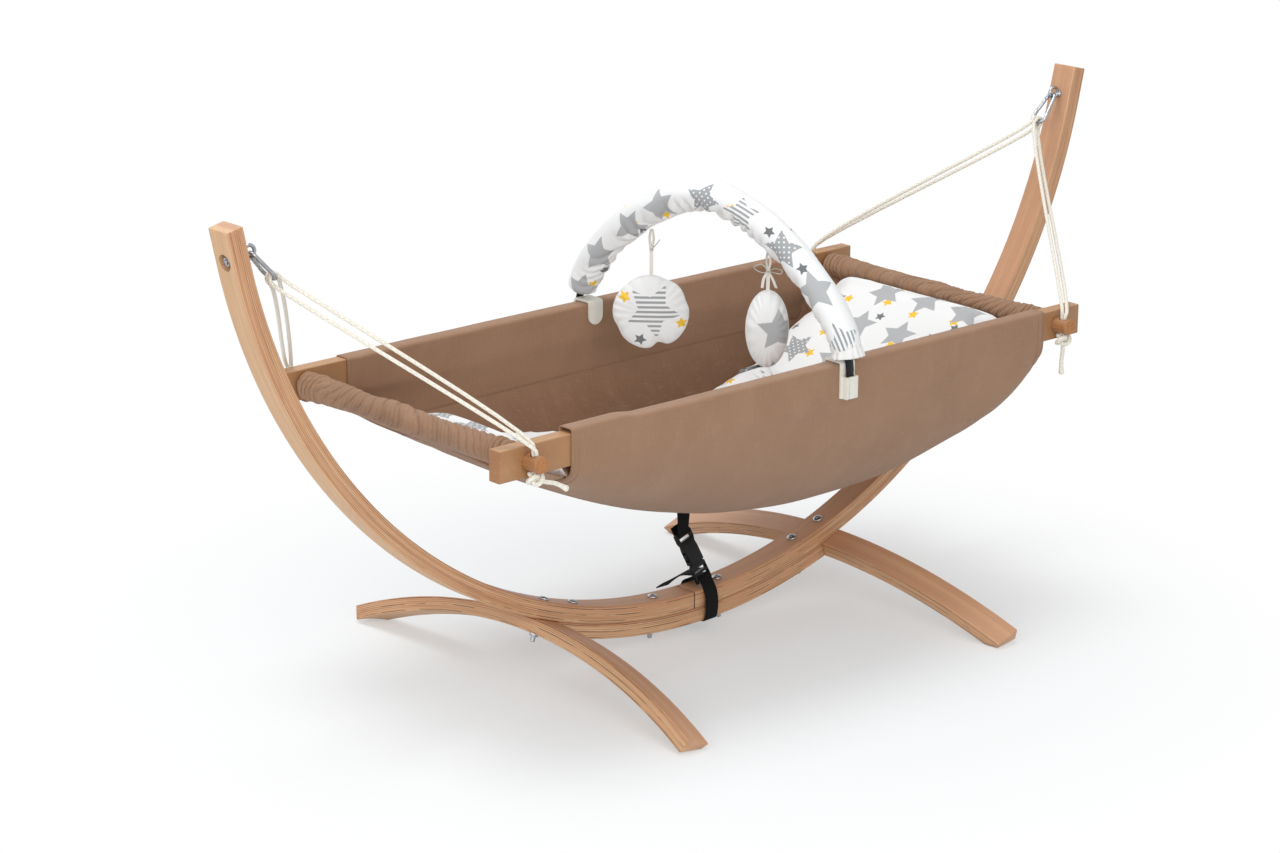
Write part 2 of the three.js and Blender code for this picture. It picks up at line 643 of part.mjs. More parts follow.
for (const [side, label] of [[-1, 'left'], [1, 'right']]) {
  const half = RAIL_OUTER_Y + DOWEL_REACH;
  const dowel = lathe([[0, -half], [DOWEL_RADIUS - DOWEL_EDGE, -half], [DOWEL_RADIUS, DOWEL_EDGE - half],
    [DOWEL_RADIUS, half - DOWEL_EDGE], [DOWEL_RADIUS - DOWEL_EDGE, half], [0, half]], 20);
  dowel.rotateX(Math.PI / 2);
  dowel.translate(side * DOWEL_X, 0, DOWEL_Z);
  const holes = [-1, 1].map((front) => rod(
    v3(side * DOWEL_X, front * CORD_Y, DOWEL_Z - DOWEL_RADIUS - OVERRUN),
    v3(side * DOWEL_X, front * CORD_Y, DOWEL_Z + DOWEL_RADIUS + OVERRUN), CORD_HOLE_RADIUS, 14));
  addPart(`dowel_${label}`, cut(dowel, ...holes), BEECH);
}

// Cord: both legs pass down through the dowel's hole into a stopper knot with one tail
function cordPoints(side, front) {
  const bend = HOOK_WIRE_RADIUS + CORD_RADIUS + 4 * SEAT;
  const place = CORD_RADIUS + 2 * SEAT;
  const bar = hookPoint(side, front * place, HOOK_SPAN + Math.sqrt(HOOK_BASE_RADIUS ** 2 - place ** 2));
  const down = hangDown(side);
  const across = hangAcross(side);
  const leg = (shift, lean) => [
    v3(side * DOWEL_X, front * (CORD_Y + shift), DOWEL_Z - DOWEL_RADIUS - KNOT_HEIGHT / 2),
    v3(side * DOWEL_X, front * (CORD_Y + shift), DOWEL_Z),
    v3(side * DOWEL_X, front * (CORD_Y + shift), DOWEL_Z + DOWEL_RADIUS + CORD_RADIUS),
    v3(side * (DOWEL_X + CORD_RADIUS), front * (CORD_Y + shift - CORD_RADIUS / 2),
      DOWEL_Z + 2 * DOWEL_RADIUS).addScaledVector(across, lean * CORD_RADIUS),
    bar.clone().addScaledVector(across, lean * bend).addScaledVector(down, bend),
    bar.clone().addScaledVector(across, lean * bend),
    bar.clone().addScaledVector(across, lean * bend * Math.SQRT1_2)
      .addScaledVector(down, -bend * Math.SQRT1_2),
  ];
  const inner = leg(-CORD_PITCH / 2, 1);
  const outer = leg(CORD_PITCH / 2, -1);
  return [...inner, bar.clone().addScaledVector(down, -bend), ...outer.reverse()];
}

for (const [side, end] of [[-1, 'left'], [1, 'right']]) {
  for (const [front, label] of [[-1, 'front'], [1, 'back']]) {
    const knot = new THREE.SphereGeometry(1, 10, 6);
    knot.scale(KNOT_RADIUS, KNOT_RADIUS, KNOT_HEIGHT / 2);
    const knotZ = DOWEL_Z - DOWEL_RADIUS - SEAT - KNOT_HEIGHT / 2;
    knot.translate(side * DOWEL_X, front * CORD_Y, knotZ);
    const knotAt = v3(side * DOWEL_X, front * CORD_Y, knotZ);
    const tailWay = v3(...(side < 0 && front < 0 ? TAIL_ASIDE_SHARES : TAIL_DOWN_SHARES)).normalize();
    const tailEnd = knotAt.clone().addScaledVector(tailWay, KNOT_HEIGHT / 2 + TAIL_LENGTH);
    const tail = rod(knotAt, tailEnd, CORD_RADIUS, 8);
    const legs = cordTube(cordPoints(side, front), CORD_RADIUS, 28);
    addPart(`cord_${end}_${label}`, join(legs, knot, tail), COTTON);
  }
}

// Sling: belly height at a place along and across, tunnels over the rails, strips to the sleeves

const SLING_HALF = RAIL_OUTER_Y + SEAT + FABRIC;
function slingDepth(x) {
  const head = x > SLING_LOW_X;
  const run = head ? DOWEL_X - SLING_LOW_X : DOWEL_X + SLING_LOW_X;
  const share = Math.abs(x - SLING_LOW_X) / run;
  const rise = (SLING_END_Z - SLING_LOW_Z) * share ** (head ? SLING_HEAD_SHARE : SLING_FOOT_SHARE);
  const power = SLING_ROUND_SHARE + SLING_SQUARE_SHARE * share ** 5;
  return { depth: RAIL_TOP - SLING_LOW_Z - rise, power };
}

// Point of the sling's outside at x, inset inwards; turn runs from -1 at the front rail to 1 at the back
function slingPoint(x, turn, inset) {
  const { depth, power } = slingDepth(x);
  const angle = (turn * Math.PI) / 2;
  const y = (SLING_HALF - inset) * Math.sign(turn) * Math.abs(Math.sin(angle)) ** (2 / power);
  return v3(x, y, RAIL_TOP - (depth - inset) * Math.abs(Math.cos(angle)) ** (2 / power));
}

// Height of the sling's outside at a point of the plan
function slingHeight(x, y, inset = 0) {
  const { depth, power } = slingDepth(x);
  const share = Math.min(Math.abs(y) / (SLING_HALF - inset), 1);
  return RAIL_TOP - (depth - inset) * (1 - share ** power) ** (1 / power);
}

// Rows of points on the belly, inset inwards from its outside and then raised
function bellyRows(inset, raise = 0) {
  const LENGTH_STEPS = 12;
  const TURN_STEPS = 16;
  const LIMIT_SHARE = 0.9;
  return Array.from({ length: LENGTH_STEPS + 1 }, (_, i) => {
    const x = SLING_START_X + ((SLING_END_X - SLING_START_X) * i) / LENGTH_STEPS;
    return Array.from({ length: TURN_STEPS + 1 }, (_, j) =>
      slingPoint(x, LIMIT_SHARE * ((2 * j) / TURN_STEPS - 1), inset).addScaledVector(AXIS_Z, raise));
  });
}

// Rows of the strip from the belly's end to the gathered sleeve
function stripRows(side, raise) {
  const STEPS = 3;
  const ACROSS = 10;
  const from = side < 0 ? SLING_START_X + HEM_LAP : SLING_END_X - HEM_LAP;
  const to = side * DOWEL_X;
  return Array.from({ length: STEPS + 1 }, (_, i) => {
    const x = from + ((to - from) * i) / STEPS;
    return Array.from({ length: ACROSS + 1 }, (_, j) => {
      const y = SLING_STRIP_HALF_WIDTH * ((2 * j) / ACROSS - 1);
      return v3(x, y, slingHeight(x, y) + raise);
    });
  });
}
const endStrip = (side) => sheet(stripRows(side, FABRIC), stripRows(side, 0));

// Tunnel around a rail, closed below it where its two layers are sewn together
function railTunnel(front) {
  const inner = RAIL_OUTER_Y - RAIL_THICKNESS - SEAT;
  const outer = RAIL_OUTER_Y + SEAT;
  const top = RAIL_TOP + SEAT;
  const base = RAIL_TOP - RAIL_HEIGHT - SLING_TUNNEL_DROP;
  const outline = [[inner - FABRIC, top + FABRIC], [outer + FABRIC, top + FABRIC],
    [outer + FABRIC, base - FABRIC],
    [outer - FABRIC, base - FABRIC], [inner - FABRIC, RAIL_TOP - RAIL_HEIGHT]];
  const pocket = [[inner, top], [outer, top], [outer, base + FABRIC], [inner, RAIL_TOP - RAIL_HEIGHT]];
  const plate = (points, from, to) =>
    loft([from, to].map((x) => points.map(([y, z]) => v3(x, front * y, z))));
  return [plate(outline, SLING_START_X, SLING_END_X),
    plate(pocket, SLING_START_X - OVERRUN, SLING_END_X + OVERRUN)];
}

const tunnels = [-1, 1].map(railTunnel);
const cloth = join(
  sheet(bellyRows(FABRIC), bellyRows(0)), endStrip(-1), endStrip(1), ...tunnels.map(([wall]) => wall));
const sleeveBores = [-1, 1].map((side) => rod(
  v3(side * DOWEL_X, -RAIL_OUTER_Y, DOWEL_Z), v3(side * DOWEL_X, RAIL_OUTER_Y, DOWEL_Z),
  SLEEVE_RADIUS + SLEEVE_GATHER + SEAT, 20));
addPart('sling', cut(cloth, ...tunnels.map(([, pocket]) => pocket), ...sleeveBores), TAUPE);

// Gathered sleeve around a dowel
function gatheredSleeve(side) {
  const half = RAIL_OUTER_Y - RAIL_THICKNESS - SLEEVE_GAP;
  const SIDES = 10;
  const inner = (DOWEL_RADIUS + SEAT) / Math.cos(Math.PI / SIDES);
  const STEPS = 2 * SLEEVE_GATHERS;
  const profile = Array.from({ length: STEPS + 1 }, (_, i) => [
    SLEEVE_RADIUS + (i % 2 ? SLEEVE_GATHER : -SLEEVE_GATHER), half * ((2 * i) / STEPS - 1)]);
  profile.push([inner, half], [inner, -half], profile[0]);
  const sleeve = lathe(profile, SIDES);
  sleeve.rotateX(Math.PI / 2);
  sleeve.translate(side * DOWEL_X, 0, DOWEL_Z);
  return sleeve;
}
addPart('sleeve_left', gatheredSleeve(-1), TAUPE);
addPart('sleeve_right', gatheredSleeve(1), TAUPE);

// Mattress on the belly, and the pillow on the mattress's head end

const mattressEdge = (share) => (1 - Math.abs(share) ** 6) ** 0.5;
function mattressTop(x, y) {
  const share = Math.min(Math.abs(y) / MATTRESS_HALF_WIDTH, 1);
  const crown = MATTRESS_THICKNESS + MATTRESS_CROWN * Math.cos((share * Math.PI) / 2);
  return slingHeight(x, y, FABRIC) + SEAT + crown * mattressEdge(share);
}

// Cushion between two heights over a plan, pinched at its ends by the edge share
function cushion(startX, endX, halfWidth, steps, across, low, high) {
  const rows = (height) => Array.from({ length: steps + 1 }, (_, i) => {
    const along = Math.sin((Math.PI / 2) * ((2 * i) / steps - 1));
    const x = (startX + endX) / 2 + ((endX - startX) / 2) * along;
    return Array.from({ length: across + 1 }, (_, j) => {
      const side = Math.sin((Math.PI / 2) * ((2 * j) / across - 1));
      const y = halfWidth * side;
      return v3(x, y, height(x, y, along, side));
    });
  });
  return sheet(rows(high), rows(low));
}

const endTaper = (along) => (1 - Math.abs(along) ** 12) ** 0.5;
const raised = (geometry, lift) => geometry.clone().translate(0, 0, lift);

// The mattress rests on the cloth: its underside is cut by what lies below the cloth's inside
const below = [sheet(bellyRows(FABRIC, SEAT), bellyRows(FABRIC, -3 * MATTRESS_THICKNESS)),
  ...[-1, 1].map((side) =>
    sheet(stripRows(side, FABRIC + SEAT), stripRows(side, -3 * MATTRESS_THICKNESS)))];
const mattress = cut(cushion(MATTRESS_START_X, MATTRESS_END_X, MATTRESS_HALF_WIDTH, 15, 10,
  (x, y) => slingHeight(x, y, FABRIC) - MATTRESS_DEPTH,
  (x, y, along) => {
    const low = slingHeight(x, y, FABRIC) + 2 * SEAT;
    return low + MATTRESS_HEM + (mattressTop(x, y) - low) * endTaper(along);
  }), ...below);
addPart('mattress', mattress, PRINT);

const pillowSwell = (along, side) =>
  (Math.max(Math.cos((along * Math.PI) / 2), 0) * Math.max(Math.cos((side * Math.PI) / 2), 0)) ** 0.5;
addPart('pillow', cut(cushion(PILLOW_START_X, PILLOW_END_X, PILLOW_HALF_WIDTH, 8, 10,
  (x, y) => mattressTop(x, y) - MATTRESS_HEM,
  (x, y, along, side) => mattressTop(x, y) + MATTRESS_HEM + PILLOW_EDGE
    + PILLOW_THICKNESS * pillowSwell(along, side)),
raised(mattress, SEAT)), PRINT);

// Toy bar: a bent batten in a padded cover, its ends in the pockets of two clips

const CLIP_FACE_Y = SLING_HALF + SEAT + CLIP_WALL;
const POCKET_Y = CLIP_FACE_Y + CLIP_BOX_DEPTH / 2 - CLIP_WALL / 4;
const clipX = (front) => (front < 0 ? FRONT_CLIP_X : BACK_CLIP_X);
const barMiddle = v3((FRONT_CLIP_X + BACK_CLIP_X) / 2, 0, 0);
const barSpan = v3(BACK_CLIP_X - FRONT_CLIP_X, 2 * POCKET_Y, 0);
const barAlong = barSpan.clone().normalize();
const barNormal = v3(0, 0, 0).crossVectors(barAlong, AXIS_Z);

// Place on the bar at a turn from 0 at the front spring to pi at the back, with the outward direction
function barFrame(turn) {
  const power = 2 / BAR_ROUND_SHARE;
  const at = (angle) => barMiddle.clone()
    .addScaledVector(barAlong, (-barSpan.length() / 2) * Math.sign(Math.cos(angle))
      * Math.abs(Math.cos(angle)) ** power)
    .addScaledVector(AXIS_Z, BAR_SPRING_Z
      + (BAR_TOP_Z - BAR_SPRING_Z) * Math.abs(Math.sin(angle)) ** power);
  const STEP = 0.01;
  const tangent = at(Math.min(turn + STEP, Math.PI)).sub(at(Math.max(turn - STEP, 0))).normalize();
  return { point: at(turn), out: v3(0, 0, 0).crossVectors(barNormal, tangent).normalize() };
}

function barTurns(from, to, steps) {
  return Array.from({ length: steps + 1 }, (_, i) => from + ((to - from) * i) / steps);
}

// Turn at which the cover starts, where the bar has climbed to the seat height
const BAR_START = Math.asin(
  ((BAR_SEAT_Z - BAR_SPRING_Z) / (BAR_TOP_Z - BAR_SPRING_Z)) ** (BAR_ROUND_SHARE / 2));
const COVER_TURNS = barTurns(BAR_START, Math.PI - BAR_START, 24);
const BATTEN_TURNS = [0, BAR_START / 2, ...COVER_TURNS, Math.PI - BAR_START / 2, Math.PI];
const ringsOnBar = (turns, sectionOf) => turns.map((turn, i) => {
  const { point, out } = barFrame(turn);
  return ringAt(sectionOf(i), point, barNormal, out);
});

function batten() {
  const section = flatSection(BATTEN_WIDTH, BATTEN_THICKNESS);
  const foot = (turn) => {
    const { point, out } = barFrame(turn);
    return ringAt(section, point.setZ(RAIL_TOP - CLIP_OUTER_DROP + CLIP_WALL + SEAT), barNormal, out);
  };
  return loft([foot(0), ...ringsOnBar(BATTEN_TURNS, () => section), foot(Math.PI)]);
}

function barCover() {
  const END_SHARE = 0.82;
  const last = COVER_TURNS.length - 1;
  const skin = ringsOnBar(COVER_TURNS, (i) => roundSection(BAR_RADIUS * (i % last ? 1 : END_SHARE), 12));
  const bore = flatSection(BATTEN_WIDTH + 2 * SEAT, BATTEN_THICKNESS + 3 * SEAT);
  return cut(loft(skin), loft(ringsOnBar(BATTEN_TURNS.slice(1, -1), () => bore)));
}
addPart('toy_bar_batten', batten(), BLACK_PLASTIC);
addPart('toy_bar_cover', barCover(), PRINT);

// Clip: a hook over the rail with a round-ended tongue inside and a pocket outside
function clip(front) {
  const x = clipX(front);
  const top = RAIL_TOP + SEAT + FABRIC + SEAT;
  const inside = RAIL_OUTER_Y - RAIL_THICKNESS - SEAT - FABRIC - SEAT;
  const outside = SLING_HALF + SEAT;
  const at = (y, z) => new THREE.Vector2(front * y, z);
  const hook = new THREE.Shape([at(inside - CLIP_WALL, top - CLIP_TONGUE), at(inside - CLIP_WALL, top),
    at(inside, top + CLIP_WALL), at(outside, top + CLIP_WALL), at(outside + CLIP_WALL, top),
    at(outside + CLIP_WALL, RAIL_TOP - CLIP_OUTER_DROP), at(outside, RAIL_TOP - CLIP_OUTER_DROP),
    at(outside, top), at(inside, top), at(inside, top - CLIP_TONGUE)]);
  const plate = new THREE.ExtrudeGeometry(hook, { depth: CLIP_WIDTH, bevelEnabled: false });
  plate.applyMatrix4(new THREE.Matrix4().makeBasis(AXIS_Y, AXIS_Z, AXIS_X)
    .setPosition(x - CLIP_WIDTH / 2, 0, 0));
  const rounding = (way) => cut(
    box(CLIP_WIDTH / 2 + OVERRUN, 3 * CLIP_WALL, CLIP_WIDTH / 2 + OVERRUN,
      v3(x + way * (CLIP_WIDTH / 4 + OVERRUN / 2), front * (inside - CLIP_WALL / 2),
        top - CLIP_TONGUE + (CLIP_WIDTH / 2 - OVERRUN) / 2)),
    rod(v3(x, front * (inside - 4 * CLIP_WALL), top - CLIP_TONGUE + CLIP_WIDTH / 2),
      v3(x, front * (inside + 3 * CLIP_WALL), top - CLIP_TONGUE + CLIP_WIDTH / 2), CLIP_WIDTH / 2, 24));
  const low = RAIL_TOP - CLIP_OUTER_DROP;
  const boxMiddle = outside + CLIP_WALL + CLIP_BOX_DEPTH / 2 - SEAT;
  const pocketBox = box(CLIP_BOX_WIDTH, CLIP_BOX_DEPTH, CLIP_BOX_HEIGHT,
    v3(x, front * boxMiddle, low + CLIP_BOX_HEIGHT / 2));
  const pocket = box(BATTEN_WIDTH + 4 * SEAT, BATTEN_THICKNESS + 6 * SEAT, CLIP_BOX_HEIGHT,
    v3(x, front * POCKET_Y, low + CLIP_WALL + CLIP_BOX_HEIGHT / 2));
  const groove = box(CLIP_WALL, CLIP_WALL, CLIP_BOX_HEIGHT + OVERRUN,
    v3(x - CLIP_BOX_WIDTH / 4, front * (boxMiddle + CLIP_BOX_DEPTH / 2), low + CLIP_BOX_HEIGHT / 2));
  return cut(join(cut(plate, rounding(-1), rounding(1)), pocketBox), pocket, groove);
}
addPart('toy_bar_clip_front', clip(-1), PLASTIC);
addPart('toy_bar_clip_back', clip(1), PLASTIC);

// Toys: padded shapes on ribbon loops under the bar

// Lowest point of the cover over a place along Y
function barUnderside(y) {
  let best = barFrame(Math.PI / 2);
  for (const turn of barTurns(BAR_START, Math.PI - BAR_START, 400)) {
    const frame = barFrame(turn);
    if (Math.abs(frame.point.y - y) < Math.abs(best.point.y - y)) best = frame;
  }
  return best.point.clone().addScaledVector(AXIS_Z, -(BAR_RADIUS + 3 * SEAT) / Math.abs(best.out.z));
}

// Pad with a given outline radius at each turn, swelling to its thickness in the middle
function pad(outline, thickness, centre, turnAngle) {
  const AROUND = 20;
  const RISE_SHARES = [1, 0.86, 0.5];
  const LIFT_SHARES = [0.12, 0.6, 0.94];
  const u = v3(Math.cos(rad(turnAngle)), Math.sin(rad(turnAngle)), 0);
  const w = v3(0, 0, 0).crossVectors(u, AXIS_Z);
  const ring = (size, lift) => Array.from({ length: AROUND }, (_, i) => {
    const turn = (2 * Math.PI * i) / AROUND;
    const [a, b] = outline(turn);
    return centre.clone().addScaledVector(u, a * size).addScaledVector(AXIS_Z, b * size)
      .addScaledVector(w, (lift * thickness) / 2);
  });
  const front = RISE_SHARES.map((size, i) => ring(size, LIFT_SHARES[i]));
  const back = RISE_SHARES.map((size, i) => ring(size, -LIFT_SHARES[i])).reverse();
  return loft([...back, ...front]);
}

const roundOutline = (turn) => {
  const notch = ROUND_TOY_NOTCH_SHARE * Math.exp(-(((turn - 1.5 * Math.PI) / 0.3) ** 2));
  const radius = ROUND_TOY_RADIUS * (1 - notch);
  return [radius * Math.cos(turn), radius * Math.sin(turn)];
};
const ovalOutline = (turn) => [OVAL_TOY_HALF_WIDTH * Math.cos(turn), OVAL_TOY_HALF_HEIGHT * Math.sin(turn)];

// Ribbon from the bar to the toy: two strands, meeting at the top
function ribbon(top, bottom) {
  const sideways = v3(Math.cos(rad(TOY_TURN)), Math.sin(rad(TOY_TURN)), 0);
  const middle = top.clone().lerp(bottom, 0.5);
  const strand = (way) => cordTube(
    [top.clone(), middle.clone().addScaledVector(sideways, way * RIBBON_SPREAD), bottom.clone()],
    RIBBON_RADIUS, 4, 5);
  return join(strand(-1), strand(1));
}

// Flat bow tied on the oval toy's ribbon
function ribbonBow(at) {
  const sideways = v3(Math.cos(rad(TOY_TURN)), Math.sin(rad(TOY_TURN)), 0);
  const aside = (way, reach, rise) => at.clone()
    .addScaledVector(sideways, way * BOW_LOOP_WIDTH * reach).addScaledVector(AXIS_Z, BOW_LOOP_WIDTH * rise);
  const loop = (way) => cordTube(
    [at.clone(), aside(way, 0.6, 0.3), aside(way, 1, 0), aside(way, 0.6, -0.3)], RIBBON_RADIUS, 6, 5);
  return join(loop(-1), loop(1));
}

const roundToyTop = barUnderside(ROUND_TOY_Y);
const ovalToyTop = barUnderside(OVAL_TOY_Y);
const roundToyCentre = roundToyTop.clone().addScaledVector(AXIS_Z, -ROUND_TOY_DROP);
const ovalToyCentre = ovalToyTop.clone().addScaledVector(AXIS_Z, -OVAL_TOY_DROP);
addPart('round_toy', pad(roundOutline, ROUND_TOY_THICKNESS, roundToyCentre, TOY_TURN), PRINT);
addPart('round_toy_ribbon', ribbon(roundToyTop,
  roundToyCentre.clone().addScaledVector(AXIS_Z, ROUND_TOY_RADIUS + SEAT)), COTTON);
addPart('oval_toy', pad(ovalOutline, OVAL_TOY_THICKNESS, ovalToyCentre, TOY_TURN), PRINT);
addPart('oval_toy_ribbon', join(ribbon(ovalToyTop,
  ovalToyCentre.clone().addScaledVector(AXIS_Z, OVAL_TOY_HALF_HEIGHT + SEAT)),
ribbonBow(ovalToyTop.clone().addScaledVector(AXIS_Z, -BOW_LOOP_WIDTH))), COTTON);

// Webbing: a flat band along corner points, mitred at each, with its width along a direction per point
function band(points, widths, thickness, endless = false) {
  const n = points.length;
  const rings = points.map((point, i) => {
    const before = points[(i + n - 1) % n];
    const after = points[(i + 1) % n];
    const entering = point.clone().sub(before).normalize();
    const leaving = after.clone().sub(point).normalize();
    const first = endless || i > 0 ? entering : leaving;
    const second = endless || i < n - 1 ? leaving : entering;
    const width = widths[i];
    const normal = v3(0, 0, 0).crossVectors(width, first).normalize();
    const mitre = v3(0, 0, 0).crossVectors(width, second).normalize().add(normal).normalize();
    mitre.divideScalar(mitre.dot(normal));
    return ringAt(flatSection(WEB_WIDTH, thickness), point, width, mitre);
  });
  return loft(rings, endless);
}

// Buckle frame: rod across, lean up its length, and the thickness direction towards the back
const strapUp = outwardAt(STRAP_ANGLE, 1).negate();
const strapAlong = alongAt(STRAP_ANGLE, 1);
const rodCentre = bowPoint(STRAP_ANGLE, 1, BOW_RADIUS - BOW_THICKNESS - ROD_RISE).setY(ROD_Y);
const lean = v3(...BUCKLE_LEAN_SHARES).normalize();
const across = AXIS_X.clone().addScaledVector(lean, -lean.x).normalize();
const backwards = v3(0, 0, 0).crossVectors(lean, across);
const onBuckle = (a, up, t = 0) => rodCentre.clone()
  .addScaledVector(across, a).addScaledVector(lean, up).addScaledVector(backwards, t);

function buckleBox(width, thickness, from, to, a = 0, t = 0) {
  const geometry = new THREE.BoxGeometry(width, thickness, to - from);
  const basis = new THREE.Matrix4().makeBasis(across, backwards.clone().negate(), lean.clone().negate());
  geometry.applyMatrix4(basis.setPosition(onBuckle(a, (from + to) / 2, t)));
  return geometry;
}

const buckleLoft = (stations) => loft(stations.map(([up, width, thickness]) =>
  ringAt(bevelledSection(width, thickness, WEB_THICKNESS / 2), onBuckle(0, up), across, backwards)));

// Loop of webbing round the bow and the splice, with its crest over the plug's rod
function strapLoop() {
  const reach = BOW_WIDTH / 2 + SEAT + WEB_THICKNESS / 2;
  const low = -(BOW_THICKNESS + SEAT + LOWER_THICKNESS + SEAT + WEB_THICKNESS / 2);
  const turn = ROD_RADIUS + 3 * SEAT + WEB_THICKNESS / 2;
  const edge = WEB_THICKNESS / 2 + 2 * SEAT;
  const foot = bowPoint(STRAP_ANGLE, 1, BOW_RADIUS - BOW_THICKNESS);
  const onLoop = (y, rise) => foot.clone().setY(0).addScaledVector(strapUp, rise).setY(y);
  const corners = [onLoop(-reach, low), onLoop(-reach - SEAT, edge), onBuckle(0, turn * 0.3, -turn),
    onBuckle(0, turn, -turn * 0.4), onBuckle(0, turn, turn * 0.4),
    onLoop(reach + SEAT, edge), onLoop(reach, low)];
  const widths = [strapAlong, strapAlong, across, across, across, strapAlong, strapAlong];
  return band(corners, widths, WEB_THICKNESS, true);
}
addPart('strap_loop', strapLoop(), BLACK);

// Plug: rod and bar for the webbing, a shoulder, and a guide between its two release arms
function plug() {
  const body = buckleLoft([[-PLUG_FOOT, PLUG_WIDTH, PLUG_THICKNESS],
    [PLUG_SHOULDER - PLUG_FOOT, PLUG_WIDTH, PLUG_THICKNESS],
    [PLUG_SHOULDER, PLUG_NECK_WIDTH, PLUG_THICKNESS]]);
  const slot = (from, to) => buckleBox(PLUG_SLOT_WIDTH, PLUG_THICKNESS + OVERRUN, from, to);
  const frame = cut(body, slot(-PLUG_FOOT - OVERRUN, PLUG_BAR_END - WEB_THICKNESS),
    slot(PLUG_BAR_END + WEB_THICKNESS, PLUG_BAR_END + WEB_THICKNESS + PLUG_SLOT_LENGTH));
  const barFrom = onBuckle(-PLUG_WIDTH / 2 + SEAT, 0);
  const barTo = onBuckle(PLUG_WIDTH / 2 - SEAT, 0);
  return join(frame, rod(barFrom, barTo, ROD_RADIUS, 12),
    buckleBox(GUIDE_WIDTH, ARM_THICKNESS, PLUG_SHOULDER - PLUG_FOOT, GUIDE_END));
}
addPart('buckle_plug', plug(), BLACK_PLASTIC);

// Release arm: a bowed prong with a button that stands out of the socket's window
function releaseArm(side) {
  const root = PLUG_SHOULDER + 2 * SEAT;
  const outline = [[ARM_ROOT - ARM_WIDTH / 2, root], [ARM_ROOT + ARM_WIDTH / 2, root],
    [CAVITY_WIDTH / 2 - SEAT, WINDOW_START + SEAT], [ARM_BUTTON, WINDOW_START + ARM_WIDTH],
    [ARM_BUTTON - ARM_WIDTH / 4, ARM_END - ARM_WIDTH / 2], [ARM_BUTTON - ARM_WIDTH * 0.75, ARM_END],
    [ARM_BUTTON - ARM_WIDTH * 1.25, ARM_END],
    [CAVITY_WIDTH / 2 - ARM_WIDTH * 0.75, WINDOW_START + ARM_WIDTH]];
  return loft([-1, 1].map((face) =>
    outline.map(([a, up]) => onBuckle(side * a, up, (face * ARM_THICKNESS) / 2))));
}
addPart('release_arm_left', releaseArm(-1), BLACK_PLASTIC);
addPart('release_arm_right', releaseArm(1), BLACK_PLASTIC);

// Socket: hollow towards the plug, with side windows and a slot and bar for the upper webbing
function socket() {
  const mouth = PLUG_SHOULDER + SEAT;
  const body = buckleLoft([[mouth, SOCKET_WIDTH, SOCKET_THICKNESS],
    [CAVITY_END, SOCKET_WIDTH, SOCKET_THICKNESS],
    [(CAVITY_END + BAR_SLOT_START) / 2, SOCKET_WAIST, SOCKET_THICKNESS],
    [BAR_SLOT_START, SOCKET_HEAD_WIDTH, SOCKET_HEAD_THICKNESS],
    [SOCKET_END - WEB_THICKNESS, SOCKET_HEAD_WIDTH, SOCKET_HEAD_THICKNESS],
    [SOCKET_END, SOCKET_WAIST, SOCKET_HEAD_THICKNESS / 2]]);
  return cut(body, buckleBox(CAVITY_WIDTH, CAVITY_THICKNESS, mouth - OVERRUN, CAVITY_END),
    buckleBox(SOCKET_WIDTH + OVERRUN, CAVITY_THICKNESS, WINDOW_START, WINDOW_END),
    buckleBox(PLUG_SLOT_WIDTH, SOCKET_THICKNESS + OVERRUN, BAR_SLOT_START, BAR_SLOT_END));
}
addPart('buckle_socket', socket(), BLACK_PLASTIC);

// Upper webbing: sewn under the belly, round the socket's bar and back up against itself
function upperStrap() {
  const face = SOCKET_HEAD_THICKNESS / 2 + SEAT + WEB_THICKNESS / 2;
  const under = BAR_SLOT_END - SEAT - WEB_THICKNESS / 2;
  const top = v3(BELLY_POINT_X, BELLY_POINT_Y, slingHeight(BELLY_POINT_X, BELLY_POINT_Y) - BELLY_GAP);
  const points = [onBuckle(0, SOCKET_END + 2 * WEB_THICKNESS, face),
    onBuckle(0, under, face), onBuckle(0, under, -face),
    onBuckle(0, SOCKET_END + WEB_THICKNESS, -face), top];
  return band(points, [across, across, across, across, AXIS_X], WEB_THICKNESS);
}
addPart('strap_upper', upperStrap(), BLACK);

// Loose end of the lower webbing, standing off behind the plug
function strapTail() {
  const start = onBuckle(0, PLUG_BAR_END, PLUG_THICKNESS / 2 + SEAT);
  const points = [start, ...TAIL_POINTS_X.map((x, i) => v3(x, TAIL_POINTS_Y[i], TAIL_POINTS_Z[i]))];
  return band(points, [across, AXIS_X, AXIS_X, AXIS_X], WEB_THICKNESS);
}
addPart('strap_tail', strapTail(), BLACK);

export default model;
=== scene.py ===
import math

